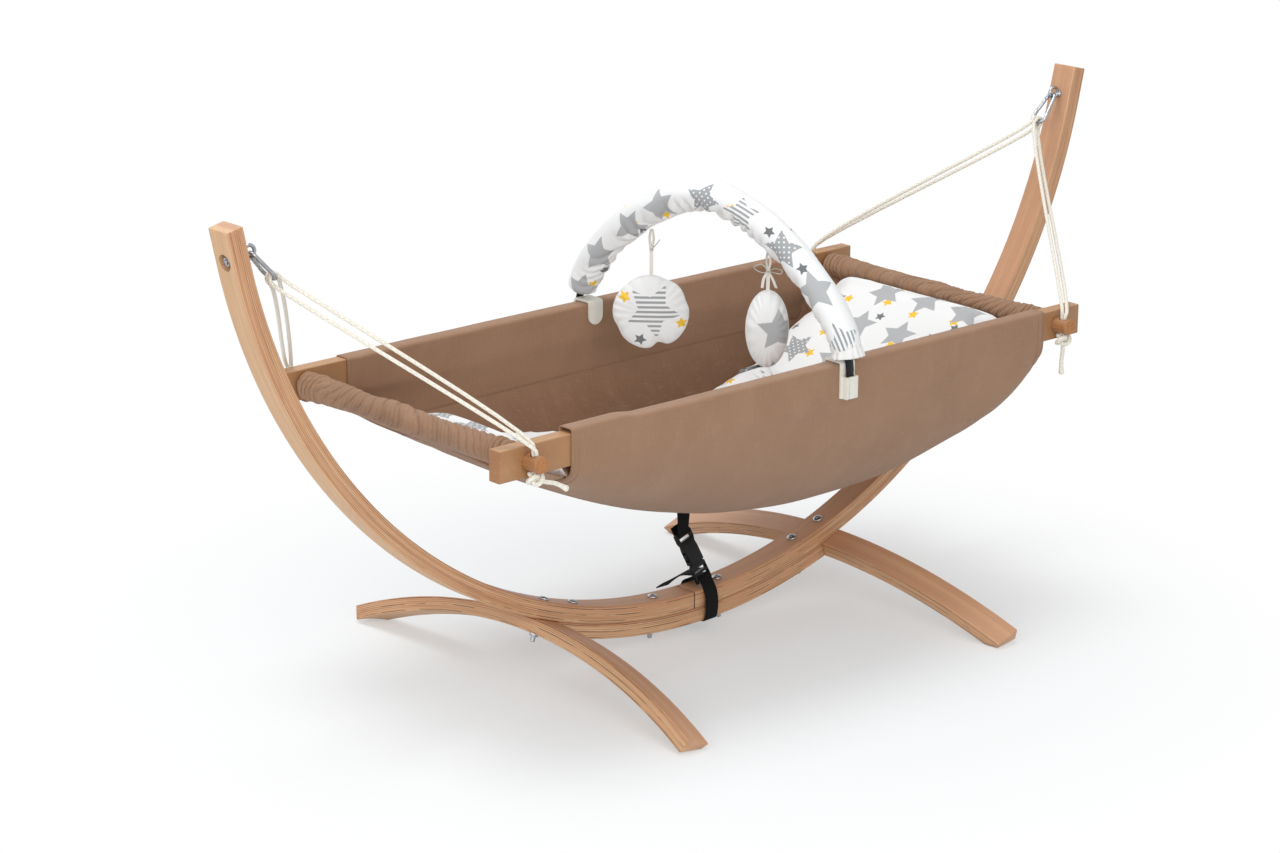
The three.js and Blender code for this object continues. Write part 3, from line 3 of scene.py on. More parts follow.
import bpy
import numpy as np
from bpy.props import FloatProperty, FloatVectorProperty, IntProperty, PointerProperty
from bpy.types import Operator, Panel, PropertyGroup
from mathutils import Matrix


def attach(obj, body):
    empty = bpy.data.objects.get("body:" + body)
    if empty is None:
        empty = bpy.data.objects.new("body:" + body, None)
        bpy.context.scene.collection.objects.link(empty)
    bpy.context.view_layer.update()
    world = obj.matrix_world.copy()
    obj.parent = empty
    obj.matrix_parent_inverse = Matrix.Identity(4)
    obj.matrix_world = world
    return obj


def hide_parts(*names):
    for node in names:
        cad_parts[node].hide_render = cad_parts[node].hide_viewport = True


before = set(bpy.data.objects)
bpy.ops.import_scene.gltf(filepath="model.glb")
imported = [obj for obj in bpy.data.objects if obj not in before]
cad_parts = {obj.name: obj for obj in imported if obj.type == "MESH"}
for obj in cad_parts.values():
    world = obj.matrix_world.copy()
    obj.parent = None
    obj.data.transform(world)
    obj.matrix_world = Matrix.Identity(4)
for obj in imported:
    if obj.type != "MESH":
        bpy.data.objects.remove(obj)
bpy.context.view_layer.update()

bl_info = {
    "name": "Hanging Baby Cradle",
    "version": (1, 0, 0),
    "blender": (4, 5, 0),
    "location": "View3D > Sidebar > Cradle",
    "description": "Builds a fabric sling cradle that hangs from a bow-shaped beech stand",
    "category": "Object",
}

# Shapes are worked out in millimetres on the same axes as the frame, and put in as metres.
MM = 0.001
X, Y, Z = np.eye(3)
SIDES = (("left", -1), ("right", 1))
ENDS = (("front", -1), ("back", 1))


# ---------------------------------------------------------------- settings

def length(name, description, millimetres):
    return FloatProperty(name=name, description=description, default=millimetres * MM,
                         min=0.0, precision=4, subtype="DISTANCE", unit="LENGTH")


def angle(name, description, degrees):
    return FloatProperty(name=name, description=description, default=math.radians(degrees), subtype="ANGLE")


def share(name, description, value):
    return FloatProperty(name=name, description=description, default=value, min=0.0, max=1.0, subtype="FACTOR")


def tint(code):
    """Scene-linear colour of an sRGB hex code."""
    values = np.array([int(code[i:i + 2], 16) for i in (1, 3, 5)]) / 255
    return tuple(float(v) for v in np.where(values <= 0.04045, values / 12.92, ((values + 0.055) / 1.055) ** 2.4))


def colour(name, description, code):
    return FloatVectorProperty(name=name, description=description, default=tint(code),
                               min=0.0, max=1.0, subtype="COLOR")


class CradleStand(PropertyGroup):
    """Bow, feet and fittings"""
    bow_radius: length("Bow radius", "Outer radius of the bow", 706)
    bow_height: length("Bow centre", "Height of the bow's centre over the floor", 741)
    bar_width: length("Bar width", "Width of the bow, the splice and the feet", 36)
    bow_thickness: length("Bow thickness", "Thickness of the bow", 22)
    lower_thickness: length("Foot thickness", "Thickness of the feet and the splice", 18.5)
    bow_angle: angle("Bow angle", "Turn from the middle of the bow to its straight tip", 77)
    tip_length: length("Tip length", "Straight length at each tip", 45)
    foot_radius: length("Foot radius", "Outer radius of a foot's arch", 718)
    foot_span: length("Foot half span", "Half the spread of a foot on the floor", 304)
    foot_angle: angle("Foot angle", "Place of the feet on the bow", 19.9)
    edge: length("Edge", "Rounding along the bars", 2.2)
    inner_face: colour("Inner face", "Face veneer inside the bow", "#ca9b7a")
    outer_face: colour("Outer face", "Face veneer outside the bow", "#dab28a")
    side_face: colour("Side face", "Edges of the laminations", "#ce9c74")
    glue_line: colour("Glue line", "Dark lines between the laminations", "#70432a")
    steel: colour("Steel", "Zinc-plated fittings", "#b2b3b6")


class CradleSling(PropertyGroup):
    """Rails, dowels, cords and the fabric sling"""
    rail_length: length("Rail length", "Length of the two rails", 960)
    rail_height: length("Rail height", "Height of a rail", 37.6)
    rail_thickness: length("Rail thickness", "Thickness of a rail", 18)
    rail_top: length("Rail top", "Height of the rails' top edge", 382)
    dowel_radius: length("Dowel radius", "Radius of the two dowels", 10)
    cord_radius: length("Cord radius", "Radius of the hanging cords", 2.3)
    cloth: length("Cloth", "Thickness of the sling's cloth", 1.5)
    low_height: length("Lowest point", "Height of the sling's lowest point", 150)
    gathers: IntProperty(name="Gathers", description="Folds of each gathered sleeve", default=46, min=8, max=120)
    rail: colour("Rail", "Stained beech of the rails", "#a57951")
    end_grain: colour("End grain", "Sawn ends of rails and dowels", "#9a6136")
    taupe: colour("Cloth outside", "Outside of the sling", "#a17c60")
    # Painted shade: the darker, redder colour that the inside of the sling takes below the rails.
    shade: colour("Cloth inside", "Inside of the sling", "#7d573d")
    cotton: colour("Cord", "Braided cotton", "#f1ecdf")


class CradleBedding(PropertyGroup):
    """Mattress and pillow"""
    mattress_width: length("Mattress half width", "Half the width of the mattress", 158)
    mattress_thickness: length("Mattress thickness", "Thickness of the mattress at its edge", 28)
    pillow_width: length("Pillow half width", "Half the width of the pillow", 174)
    pillow_thickness: length("Pillow swell", "Rise of the pillow over its edge", 30)
    star: length("Star", "Radius of the large printed stars", 27)
    white: colour("White", "Ground of the print", "#f3f4f4")
    grey: colour("Grey", "Large stars", "#b3b5b7")
    dark: colour("Dark grey", "Small stars", "#6e7174")
    yellow: colour("Yellow", "Small stars", "#fac81e")
    stripe: colour("Stripe", "Stripes of the large stars", "#9da0a2")


class CradleBar(PropertyGroup):
    """Toy bar, its clips and toys"""
    top: length("Bar top", "Height of the toy bar's middle", 552)
    spring: length("Bar spring", "Height at which the toy bar leaves its clips", 376)
    radius: length("Cover radius", "Radius of the padded cover", 21.5)
    crease: length("Crease", "Depth of the cover's creases", 6.2)
    round_radius: length("Round toy", "Radius of the round toy", 46.5)
    oval_width: length("Oval toy width", "Half the width of the oval toy", 25.5)
    oval_height: length("Oval toy height", "Half the height of the oval toy", 47.5)
    plastic: colour("Clip", "Moulded clips", "#e6e3d8")


class CradleStrap(PropertyGroup):
    """Steadying strap and its buckle"""
    width: length("Webbing width", "Width of the webbing", 20)
    thickness: length("Webbing thickness", "Thickness of the webbing", 1.6)
    web: colour("Webbing", "Woven strap", "#0b0b0b")
    buckle: colour("Buckle", "Moulded buckle", "#0b0b0c")


def stand():
    return bpy.context.scene.cradle_stand


def sling():
    return bpy.context.scene.cradle_sling


def bedding():
    return bpy.context.scene.cradle_bedding


def toybar():
    return bpy.context.scene.cradle_bar


def strap():
    return bpy.context.scene.cradle_strap


def mm(value):
    return value / MM


# ---------------------------------------------------------------- surfaces

def unit(v):
    return v / np.maximum(np.linalg.norm(v, axis=-1, keepdims=True), 1e-12)


def smooth(t):
    """3t^2 - 2t^3 between 0 and 1."""
    t = np.clip(t, 0, 1)
    return t * t * (3 - 2 * t)


def bell(x, middle, width):
    """exp(-((x - middle) / width)^2)."""
    return np.exp(-((x - middle) / width) ** 2)


def quilt(x, y, seed, fastest=3.0):
    """Smooth irregular waves of two coordinates: the sum of sines that run in even steps of direction, each
    with its own pace and start from a seeded table, over the root of their number."""
    waves = 7
    table = np.random.default_rng(seed)
    turn = np.linspace(0, np.pi, waves, endpoint=False) + table.uniform(0, 0.4, waves)
    pace = table.uniform(1.0, fastest, waves)
    start = table.uniform(0, 2 * np.pi, waves)
    field = [np.sin(k * (x * np.cos(a) + y * np.sin(a)) + s) for a, k, s in zip(turn, pace, start)]
    return sum(field) / math.sqrt(waves)


class Patch:
    """A grid of points[i, j], each with a place: the coordinate that its pattern follows. Wrapped ways join
    the last row or column to the first, and caps close the two ends by fans to their middles."""

    def __init__(self, points, place=None, wrap_rows=False, wrap_columns=False, caps=False, flip=False):
        rows, columns = points.shape[:2]
        place = points * MM if place is None else place
        place = np.broadcast_to(place, (*place.shape[:2], 3))
        if wrap_rows and place.shape[0] == rows:
            place = np.concatenate([place, place[:1]])
        if wrap_columns and place.shape[1] == columns:
            place = np.concatenate([place, place[:, :1]], axis=1)
        i = np.arange(rows if wrap_rows else rows - 1)[:, None]
        j = np.arange(columns if wrap_columns else columns - 1)[None, :]
        corners = [(i, j), (i + 1, j), (i + 1, j + 1), (i, j + 1)]
        self.points = points.reshape(-1, 3)
        self.quads = np.stack([np.broadcast_to((a % rows) * columns + b % columns, (i.size, j.size))
                               for a, b in corners], -1).reshape(-1, 4)
        self.quad_place = np.stack([place[a + 0 * b, b + 0 * a] for a, b in corners], 2).reshape(-1, 4, 3)
        self.tris = np.empty((0, 3), int)
        self.tri_place = np.empty((0, 3, 3))
        if caps:
            self.close(points, place, rows, columns)
        if caps or wrap_rows and wrap_columns:
            flip = self.volume() < 0
        if flip:
            self.quads, self.quad_place = self.quads[:, ::-1], self.quad_place[:, ::-1]
            self.tris, self.tri_place = self.tris[:, ::-1], self.tri_place[:, ::-1]

    def close(self, points, place, rows, columns):
        n = len(self.points)
        j = np.arange(columns)
        k = (j + 1) % columns
        last = (rows - 1) * columns
        ends = [(j, k, n, 0), (last + k, last + j, n + 1, -1)]
        self.points = np.concatenate([self.points, points[0].mean(0)[None], points[-1].mean(0)[None]])
        tris, places = [], []
        for a, b, pole, row in ends:
            tris.append(np.stack([a, b, np.full(columns, pole)], -1))
            edge = place[row][:columns]
            middle = np.broadcast_to(edge.mean(0), edge.shape)
            turned = np.roll(edge, -1, axis=0)
            places.append(np.stack([edge, turned, middle] if row == 0 else [turned, edge, middle], 1))
        self.tris, self.tri_place = np.concatenate(tris), np.concatenate(places)

    def volume(self):
        q, t = self.points[self.quads], self.points[self.tris]
        tetra = lambda p, i, j, k: np.einsum("ij,ij->i", p[:, i], np.cross(p[:, j], p[:, k])).sum()
        return tetra(q, 0, 1, 2) + tetra(q, 0, 2, 3) + tetra(t, 0, 1, 2)


def solid(name, patches, finishes):
    """Object of one or more patches at the origin, with its places in the corner attribute "place"."""
    starts = np.cumsum([0] + [len(p.points) for p in patches])
    points = np.concatenate([p.points for p in patches]) * MM
    corners = np.concatenate([(p.quads + s).ravel() for p, s in zip(patches, starts)]
                             + [(p.tris + s).ravel() for p, s in zip(patches, starts)])
    places = np.concatenate([p.quad_place.reshape(-1, 3) for p in patches]
                            + [p.tri_place.reshape(-1, 3) for p in patches])
    fours, threes = sum(len(p.quads) for p in patches), sum(len(p.tris) for p in patches)
    totals = np.concatenate([np.full(fours, 4), np.full(threes, 3)])
    mesh = bpy.data.meshes.new(name)
    mesh.vertices.add(len(points))
    mesh.vertices.foreach_set("co", points.ravel().astype(np.float32))
    mesh.loops.add(len(corners))
    mesh.loops.foreach_set("vertex_index", corners.astype(np.int32))
    mesh.polygons.add(len(totals))
    mesh.polygons.foreach_set("loop_start", np.concatenate([[0], np.cumsum(totals)[:-1]]).astype(np.int32))
    mesh.update(calc_edges=True)
    corner = mesh.attributes.new("place", "FLOAT_VECTOR", "CORNER")
    corner.data.foreach_set("vector", places.ravel().astype(np.float32))
    mesh.shade_smooth()
    for finish in finishes:
        mesh.materials.append(finish)
    body = bpy.data.objects.new(name, mesh)
    bpy.context.scene.collection.objects.link(body)
    return body


def settle(piece):
    """Puts the piece's modifiers into its mesh."""
    graph = bpy.context.evaluated_depsgraph_get()
    mesh = bpy.data.meshes.new_from_object(piece.evaluated_get(graph))
    piece.modifiers.clear()
    before, piece.data = piece.data, mesh
    bpy.data.meshes.remove(before)
    mesh.name = piece.name
    return piece


def drill(piece, *tools):
    """Cuts closed patches out of the piece, and keeps the new rims crisp."""
    for patch in tools:
        tool = solid("tool", [patch], [])
        cutter = piece.modifiers.new("hole", "BOOLEAN")
        cutter.operation, cutter.solver, cutter.object = "DIFFERENCE", "EXACT", tool
        settle(piece)
        data = tool.data
        bpy.data.objects.remove(tool)
        bpy.data.meshes.remove(data)
    piece.data.set_sharp_from_angle(angle=math.radians(35))


def place_on(piece, body, slot, *nodes):
    """The piece rides on its body and stands for the CAD nodes, which it hides; the slot is not used."""
    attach(piece, body)
    if nodes:
        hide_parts(*nodes)
    return piece


def outline(width, depth, edge, inset=0.0, steps=4):
    """Section of a bar: a rectangle whose corners are quarter circles, all drawn in by the inset, with a point
    a little way along each flat so that flats shade flat."""
    w, d, r = width / 2 - inset, depth / 2 - inset, max(edge - inset, 0.05)
    hold = 0.3
    turn = np.linspace(0, np.pi / 2, steps + 1)
    corner = np.concatenate([[[w, d - r - hold]], np.stack([w - r + r * np.cos(turn), d - r + r * np.sin(turn)], -1),
                             [[w - r - hold, d]]])
    mirror = corner[::-1]
    return np.concatenate([corner, mirror * [-1, 1], corner * [-1, -1], mirror * [1, -1]])


def bar(frame_at, start, end, width, depth, edge, end_edge, steps):
    """Bar along a spine given by its length: frame_at gives centres, side and out directions. Each end is
    rounded by quarter-circle insets and closed flat. Its place is (length along, across, outward)."""
    turn = np.linspace(0, np.pi / 2, 4)
    lead, drawn = end_edge * (1 - np.cos(turn)), end_edge * (1 - np.sin(turn))
    middle = np.linspace(start + end_edge, end - end_edge, steps)[1:-1]
    s = np.concatenate([[start], start + lead, middle, end - lead[::-1], [end]])
    inset = np.concatenate([[end_edge + 0.4], drawn, 0 * middle, drawn[::-1], [end_edge + 0.4]])
    section = np.stack([outline(width, depth, edge, i) for i in inset])
    centre, side, out = frame_at(s)
    points = centre[:, None] + side[:, None] * section[..., :1] + out[:, None] * section[..., 1:]
    along = np.broadcast_to(s[:, None, None], (*section.shape[:2], 1))
    return Patch(points, np.concatenate([along, section], -1) * MM, wrap_columns=True, caps=True)


def straight(a, b, side, out):
    """Frames of a straight spine from a to b."""
    a, b = np.array(a, float), np.array(b, float)
    way = unit(b - a)
    return lambda s: (a + s[:, None] * way, np.broadcast_to(side, (len(s), 3)), np.broadcast_to(out, (len(s), 3)))


def circle(count, closed=False):
    """Even turns once round; a closed set repeats the first turn at its end."""
    return np.linspace(0, 2 * np.pi, count + closed, endpoint=closed)


def turned(profile, base, axis, sides):
    """Surface of a profile of (radius, height) turned about an axis through a base point. Its place is
    (length around, height, radius)."""
    profile = np.array(profile, float)
    axis = unit(np.array(axis, float))
    u = unit(np.cross(axis, X if abs(axis[0]) < 0.9 else Y))
    v = np.cross(axis, u)
    phi = circle(sides)
    ring = np.cos(phi)[:, None] * u + np.sin(phi)[:, None] * v
    r, h = profile[:, :1, None], profile[:, 1:, None]
    points = np.array(base, float) + ring[None] * r + axis * h
    around = circle(sides, closed=True)[None] * profile[:, :1].max()
    place = np.stack(np.broadcast_arrays(around, profile[:, 1:], profile[:, :1]), -1) * MM
    return Patch(points, place, wrap_columns=True, caps=True)


def peg(a, b, radius, edge=0.0, sides=32):
    """Rod from a to b with rounded rims."""
    a, b = np.array(a, float), np.array(b, float)
    reach = np.linalg.norm(b - a)
    turn = np.linspace(0, np.pi / 2, 4)
    if edge:
        low = np.stack([radius - edge + edge * np.sin(turn), edge - edge * np.cos(turn)], -1)
        high = low[::-1] * [1, -1] + [0, reach]
        profile = np.concatenate([[[radius - edge - 0.3, 0]], low, high, [[radius - edge - 0.3, reach]]])
    else:
        profile = [[radius, 0], [radius, reach]]
    return turned(profile, a, b - a, sides)


def route(points, steps):
    """Centripetal Catmull-Rom curve through the points: each span is blended from its four nearest points by
    the square roots of their distances. The ends are carried on by reflection."""
    p = np.array(points, float)
    p = np.concatenate([[2 * p[0] - p[1]], p, [2 * p[-1] - p[-2]]])
    knots = np.concatenate([[0], np.cumsum(np.linalg.norm(np.diff(p, axis=0), axis=1) ** 0.5)])
    span = np.repeat(np.arange(len(points) - 1), steps)
    f = np.tile(np.arange(steps) / steps, len(points) - 1)
    span, f = np.append(span, len(points) - 2), np.append(f, 1.0)
    t = [knots[span + i] for i in range(4)]
    q = [p[span + i] for i in range(4)]
    at = t[1] + (t[2] - t[1]) * f
    mix = lambda a, b, ta, tb: a * ((tb - at) / (tb - ta))[:, None] + b * ((at - ta) / (tb - ta))[:, None]
    a1, a2, a3 = (mix(q[i], q[i + 1], t[i], t[i + 1]) for i in range(3))
    return mix(mix(a1, a2, t[0], t[2]), mix(a2, a3, t[1], t[3]), t[1], t[2])


def distance(path):
    """Length along a path at each of its points."""
    return np.concatenate([[0], np.cumsum(np.linalg.norm(np.diff(path, axis=0), axis=1))])


def tangents(path, loop):
    """Direction of a path at each of its points."""
    return unit(np.roll(path, -1, axis=0) - np.roll(path, 1, axis=0) if loop else np.gradient(path, axis=0))


def tube(path, radius, beside, sides, loop=False):
    """Tube along a path: rings of cos and sin about the tangent, started from a fixed direction beside it.
    Open ends are rounded. Its place is (length along, turn share, 0)."""
    tangent = tangents(path, loop)
    radii = np.broadcast_to(radius, len(path)).astype(float)
    if not loop:
        turn = np.linspace(0.12, np.pi / 2, 4)[:-1]
        first = path[0] - tangent[0] * (radii[0] * 0.7 * np.cos(turn))[:, None]
        last = path[-1] + tangent[-1] * (radii[-1] * 0.7 * np.cos(turn[::-1]))[:, None]
        path = np.concatenate([first, path, last])
        radii = np.concatenate([radii[0] * np.sin(turn), radii, radii[-1] * np.sin(turn[::-1])])
        tangent = np.concatenate([tangent[:1].repeat(3, 0), tangent, tangent[-1:].repeat(3, 0)])
    u = unit(np.cross(tangent, np.broadcast_to(beside, tangent.shape)))[:, None]
    v = np.cross(tangent, u[:, 0])[:, None]
    phi = circle(sides)
    points = path[:, None] + radii[:, None, None] * (np.cos(phi)[:, None] * u + np.sin(phi)[:, None] * v)
    s = distance(path)
    if loop:
        s = np.append(s, s[-1] + np.linalg.norm(path[0] - path[-1]))
    place = np.stack(np.broadcast_arrays(s[:, None] * MM, np.linspace(0, 1, sides + 1)[None], 0.0), -1)
    return Patch(points, place, wrap_columns=True, wrap_rows=loop, caps=not loop)


def ribbon(path, across, width, thickness, loop=False):
    """Flat band along a path, its width along the given directions. Its place is (along, across, face)."""
    across = unit(np.broadcast_to(across, path.shape))
    out = unit(np.cross(across, tangents(path, loop)))
    section = outline(width, thickness, min(0.3, thickness * 0.49), steps=2)
    points = path[:, None] + across[:, None] * section[None, :, :1] + out[:, None] * section[None, :, 1:]
    s = distance(path)
    place = np.concatenate([np.broadcast_to(s[:, None, None], (*points.shape[:2], 1)),
                            np.broadcast_to(section[None], (*points.shape[:2], 2))], -1) * MM
    if loop:
        end = place[:1].copy()
        end[..., 0] = (s[-1] + np.linalg.norm(path[0] - path[-1])) * MM
        place = np.concatenate([place, end])
    return Patch(points, place, wrap_columns=True, wrap_rows=loop, caps=not loop)


def softened(name, node, width, finish, segments=2, crease=30):
    """Copy of a CAD node with its loose triangles merged, flat faces joined and edges rounded."""
    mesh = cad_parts[node].data.copy()
    mesh.materials.clear()
    mesh.materials.append(finish)
    piece = bpy.data.objects.new(name, mesh)
    bpy.context.scene.collection.objects.link(piece)
    weld = piece.modifiers.new("weld", "WELD")
    weld.merge_threshold = 0.00002
    flat = piece.modifiers.new("flat", "DECIMATE")
    flat.decimate_type, flat.angle_limit = "DISSOLVE", math.radians(1)
    soft = piece.modifiers.new("edge", "BEVEL")
    soft.width, soft.segments, soft.limit_method = width * MM, segments, "ANGLE"
    soft.angle_limit, soft.use_clamp_overlap = math.radians(crease), True
    settle(piece)
    piece.data.shade_smooth()
    piece.data.set_sharp_from_angle(angle=math.radians(crease))
    return piece


# ---------------------------------------------------------------- finishes

class Value:
    """A shader socket that takes part in expressions: each operator adds the Math node that it stands for."""

    def __init__(self, finish, socket):
        self.finish, self.socket = finish, socket

    def sum(self, operation, *others):
        return self.finish.node("ShaderNodeMath", {"operation": operation}, [self, *others])

    def __add__(self, other):
        return self.sum("ADD", other)

    def __sub__(self, other):
        return self.sum("SUBTRACT", other)

    def __mul__(self, other):
        return self.sum("MULTIPLY", other)

    def __truediv__(self, other):
        return self.sum("DIVIDE", other)

    def __pow__(self, other):
        return self.sum("POWER", other)

    def __gt__(self, other):
        return self.sum("GREATER_THAN", other)

    def __lt__(self, other):
        return self.sum("LESS_THAN", other)

    def __rsub__(self, other):
        return self.finish.node("ShaderNodeMath", {"operation": "SUBTRACT"}, [other, self])

    __radd__ = __add__
    __rmul__ = __mul__

    def __abs__(self):
        return self.sum("ABSOLUTE")

    def sin(self):
        return self.sum("SINE")

    def cos(self):
        return self.sum("COSINE")

    def fraction(self):
        return self.sum("FRACT")

    def floor(self):
        return self.sum("FLOOR")

    def most(self, other):
        return self.sum("MAXIMUM", other)

    def least(self, other):
        return self.sum("MINIMUM", other)

    def between(self, low, high):
        """0 at low, 1 at high, eased between."""
        return self.finish.node("ShaderNodeMapRange", {"interpolation_type": "SMOOTHSTEP"},
                                [self, low, high, 0.0, 1.0])

    def near(self, middle, inner, outer):
        """1 within the inner distance of the middle, 0 beyond the outer one."""
        return 1 - abs(self - middle).between(inner, outer)

    def wave(self, pitch):
        """Sine wave of that pitch between 0 and 1."""
        return (self * (2 * math.pi / pitch)).sin() * 0.5 + 0.5


class Finish:
    """A procedural material. node() adds any node; the other methods only shorten common ones."""

    def __init__(self, name):
        self.material = bpy.data.materials.new(name)
        self.material.use_nodes = True
        self.tree = self.material.node_tree
        self.tree.nodes.clear()

    def node(self, kind, settings=None, inputs=(), output=0):
        node = self.tree.nodes.new(kind)
        for key, value in (settings or {}).items():
            setattr(node, key, value)
        pairs = inputs.items() if isinstance(inputs, dict) else enumerate(inputs)
        for key, value in pairs:
            if isinstance(value, Value):
                self.tree.links.new(value.socket, node.inputs[key])
            elif value is not None:
                socket = node.inputs[key]
                if hasattr(value, "__len__") and socket.type == "RGBA" and len(value) == 3:
                    value = (*value, 1.0)
                socket.default_value = value
        return Value(self, node.outputs[output]) if node.outputs else node

    def parts(self, vector):
        return [self.node("ShaderNodeSeparateXYZ", None, [vector], output=i) for i in range(3)]

    def place(self):
        """The three parts of the piece's own pattern coordinate, in metres."""
        return self.parts(self.node("ShaderNodeAttribute", {"attribute_name": "place"}, output="Vector"))

    def object(self):
        """The three parts of the Object coordinate, in metres."""
        return self.parts(self.node("ShaderNodeTexCoord", output="Object"))

    def vector(self, x, y, z):
        return self.node("ShaderNodeCombineXYZ", None, [x, y, z])

    def noise(self, vector, scale, detail, roughness=0.5, distortion=0.0):
        return self.node("ShaderNodeTexNoise", None, {"Vector": vector, "Scale": scale, "Detail": detail,
                                                      "Roughness": roughness, "Distortion": distortion})

    def grain(self, x, y, z, *settings):
        """Noise on coordinates that are already stretched to its size."""
        return self.noise(self.vector(x, y, z), 1, *settings)

    def mix(self, factor, a, b):
        return self.node("ShaderNodeMix", {"data_type": "RGBA"}, {0: factor, 6: a, 7: b}, output=2)

    def coats(self, base, *coats):
        """The base under coats of colour, each given as the share that it covers and its colour."""
        for cover, paint in coats:
            base = self.mix(cover, base, tint(paint) if isinstance(paint, str) else paint)
        return base

    def bump(self, height, strength, distance_mm):
        return self.node("ShaderNodeBump", None, {"Height": height, "Strength": strength,
                                                  "Distance": distance_mm * MM})

    def done(self, base, roughness, normal, **fixed):
        shader = self.node("ShaderNodeBsdfPrincipled", None, {
            "Base Color": base, "Roughness": roughness, "Normal": normal,
            **{key.replace("_", " "): value for key, value in fixed.items()}})
        self.node("ShaderNodeOutputMaterial", None, [shader])
        return self.material


BAR_HALF, LAMINA, BOARD = 0.011, 0.00235, 0.0073
BRAID_PITCH = 3.8
CANVAS_WEAVE, PRINT_WEAVE = 0.0009, 0.0006
WEB_RIB, TAPE_RIB, TAPE_PICK = 0.0016, 0.0007, 0.0006


def material(name, make, *settings):
    """The material of that name, made the first time that it is asked for."""
    return bpy.data.materials.get(name) or make(Finish(name), *settings)


def laminated_beech(f):
    """Bent laminations: face veneers inside and outside, fibres along, wavy glue lines on the edges, and painted
    shade in the groove where the two halves butt.
    """
    s = stand()
    along, across, depth = f.place()
    x, _, z = f.object()
    dark = "#3a2a20"
    fibre = f.grain(along * 9, across * 420, depth * 420, 5, 0.6)
    streak = f.grain(along * 2.2, across * 70, depth * 90, 3, 0.55)
    broad = f.grain(along * 5, across * 12, depth * 12, 2)
    pores = f.grain(along * 160, across * 900, depth * 900, 2, 0.6).between(0.62, 0.75)
    wander = f.grain(along * 11, 0.0, depth * 30, 3, 0.6) - 0.5
    strength = f.grain(along * 6, across * 8, depth * 260, 3, 0.6).between(0.42, 0.66)
    layers = (depth + BAR_HALF + wander * 0.0011) / LAMINA
    line = layers.fraction().near(0.5, 0.02, 0.2) * (strength * 0.8 + 0.2)
    pale = layers.fraction().near(0.82, 0.02, 0.16) \
        * f.grain(along * 9, 5.0, depth * 300, 3, 0.6).between(0.42, 0.6)
    band = f.grain(along * 1.5, (layers + 0.5).floor() * 5.3, 0.0, 1)
    crack = ((depth + BAR_HALF + wander * 0.0016) / BOARD).fraction().near(0.5, 0.02, 0.085) \
        * f.grain(along * 14, 0.3, depth * 130, 3, 0.7).between(0.46, 0.55) \
        * (1 - z.between(0.06, 0.22) * 0.75)
    half = mm(s.bar_width) / 2 * MM
    edge_face = abs(across).between(half - 0.0022, half - 0.0008)
    red = f.grain(along * 3, across * 40, depth * 200, 3, 0.6)
    # Painted shade: a dark line where the two bow halves butt, for the shade in the narrow groove between them.
    joint = (1 - abs(x).between(0.0006, 0.0013)) * (z > 0.0351)
    face = f.mix(depth.between(-0.002, 0.004), s.inner_face, s.outer_face)
    tone = f.coats(face,
                   (edge_face, s.side_face),
                   (fibre.between(0.3, 0.75) * 0.34, "#ad7448"),
                   (red.between(0.5, 0.75) * edge_face * 0.4, "#b0714b"),
                   (band.between(0.5, 0.62) * edge_face * 0.4, "#e3bb90"),
                   ((1 - band.between(0.36, 0.46)) * edge_face * 0.35, "#a96a44"),
                   (streak.between(0.45, 0.8) * 0.34, "#e4bd92"),
                   (broad.between(0.35, 0.75) * 0.2, "#b07a50"),
                   (pores * 0.3, "#8b5a38"),
                   (pale * edge_face * 0.55, "#efd2ae"),
                   (line * edge_face * 0.85, s.glue_line),
                   (crack * edge_face * 0.9, dark),
                   (joint * 0.85, dark))
    height = fibre * 0.5 - pores * 0.5 - line * edge_face * 0.5 - crack * edge_face * 1.6
    rough = 0.46 + fibre * 0.14 + pores * 0.1
    return f.done(tone, rough, f.bump(height, 0.35, 0.35), Coat_Weight=0.08, Coat_Roughness=0.35)


def rail_beech(f):
    """Planed, stained beech: fine specks and faint streaks along, darker sawn ends, and a painted highlight along the
    top edge.
    """
    s = sling()
    along, across, high = f.place()
    speck = f.grain(along * 260, across * 1500, high * 1500, 2, 0.6).between(0.5, 0.72)
    streak = f.grain(along * 4, across * 90, high * 60, 4, 0.6)
    broad = f.grain(along * 7, across * 20, high * 20, 2)
    half = mm(s.rail_length) / 2 * MM
    tip = abs(along - half).between(half - 0.0016, half - 0.0006)
    rings = f.grain(along * 8, across * 160, high * 480, 3, 0.65, 1.2)
    tone = f.coats(s.rail,
                   (streak.between(0.35, 0.75) * 0.5, "#9c6c44"),
                   (broad.between(0.4, 0.8) * 0.35, "#c99a6c"),
                   (speck * 0.3, "#7f5535"),
                   (tip * rings.between(0.3, 0.7) * 0.8, s.end_grain),
                   # Painted highlight: the top face and its rounded edge are drawn lighter, as where the light falls
                   # on them.
                   (high.between(0.0172, 0.0186) * 0.35, "#cfa478"))
    height = f.bump(streak * 0.5 - speck, 0.25, 0.2)
    return f.done(tone, 0.42 + streak * 0.12, height, Coat_Weight=0.06, Coat_Roughness=0.4)


def dowel_beech(f):
    """Turned beech: fibres along the dowel and growth rings on its sawn ends."""
    around, along, _ = f.place()
    fibre = f.grain(around * 700, along * 14, 0.0, 4, 0.6)
    x, y, z = f.object()
    reach = DOWEL_END * MM
    sawn = abs(y).between(reach - 0.0009, reach - 0.0003)
    rings = f.grain(x * 260, 0.0, z * 700, 3, 0.7, 1.5)
    ends = f.mix(rings.between(0.35, 0.65), sling().end_grain, tint("#bd8450"))
    tone = f.coats(tint("#a87548"), (fibre.between(0.3, 0.7), "#8f5f3a"), (sawn, ends))
    return f.done(tone, 0.5 + sawn * 0.15, f.bump(fibre + rings * sawn, 0.3, 0.25))


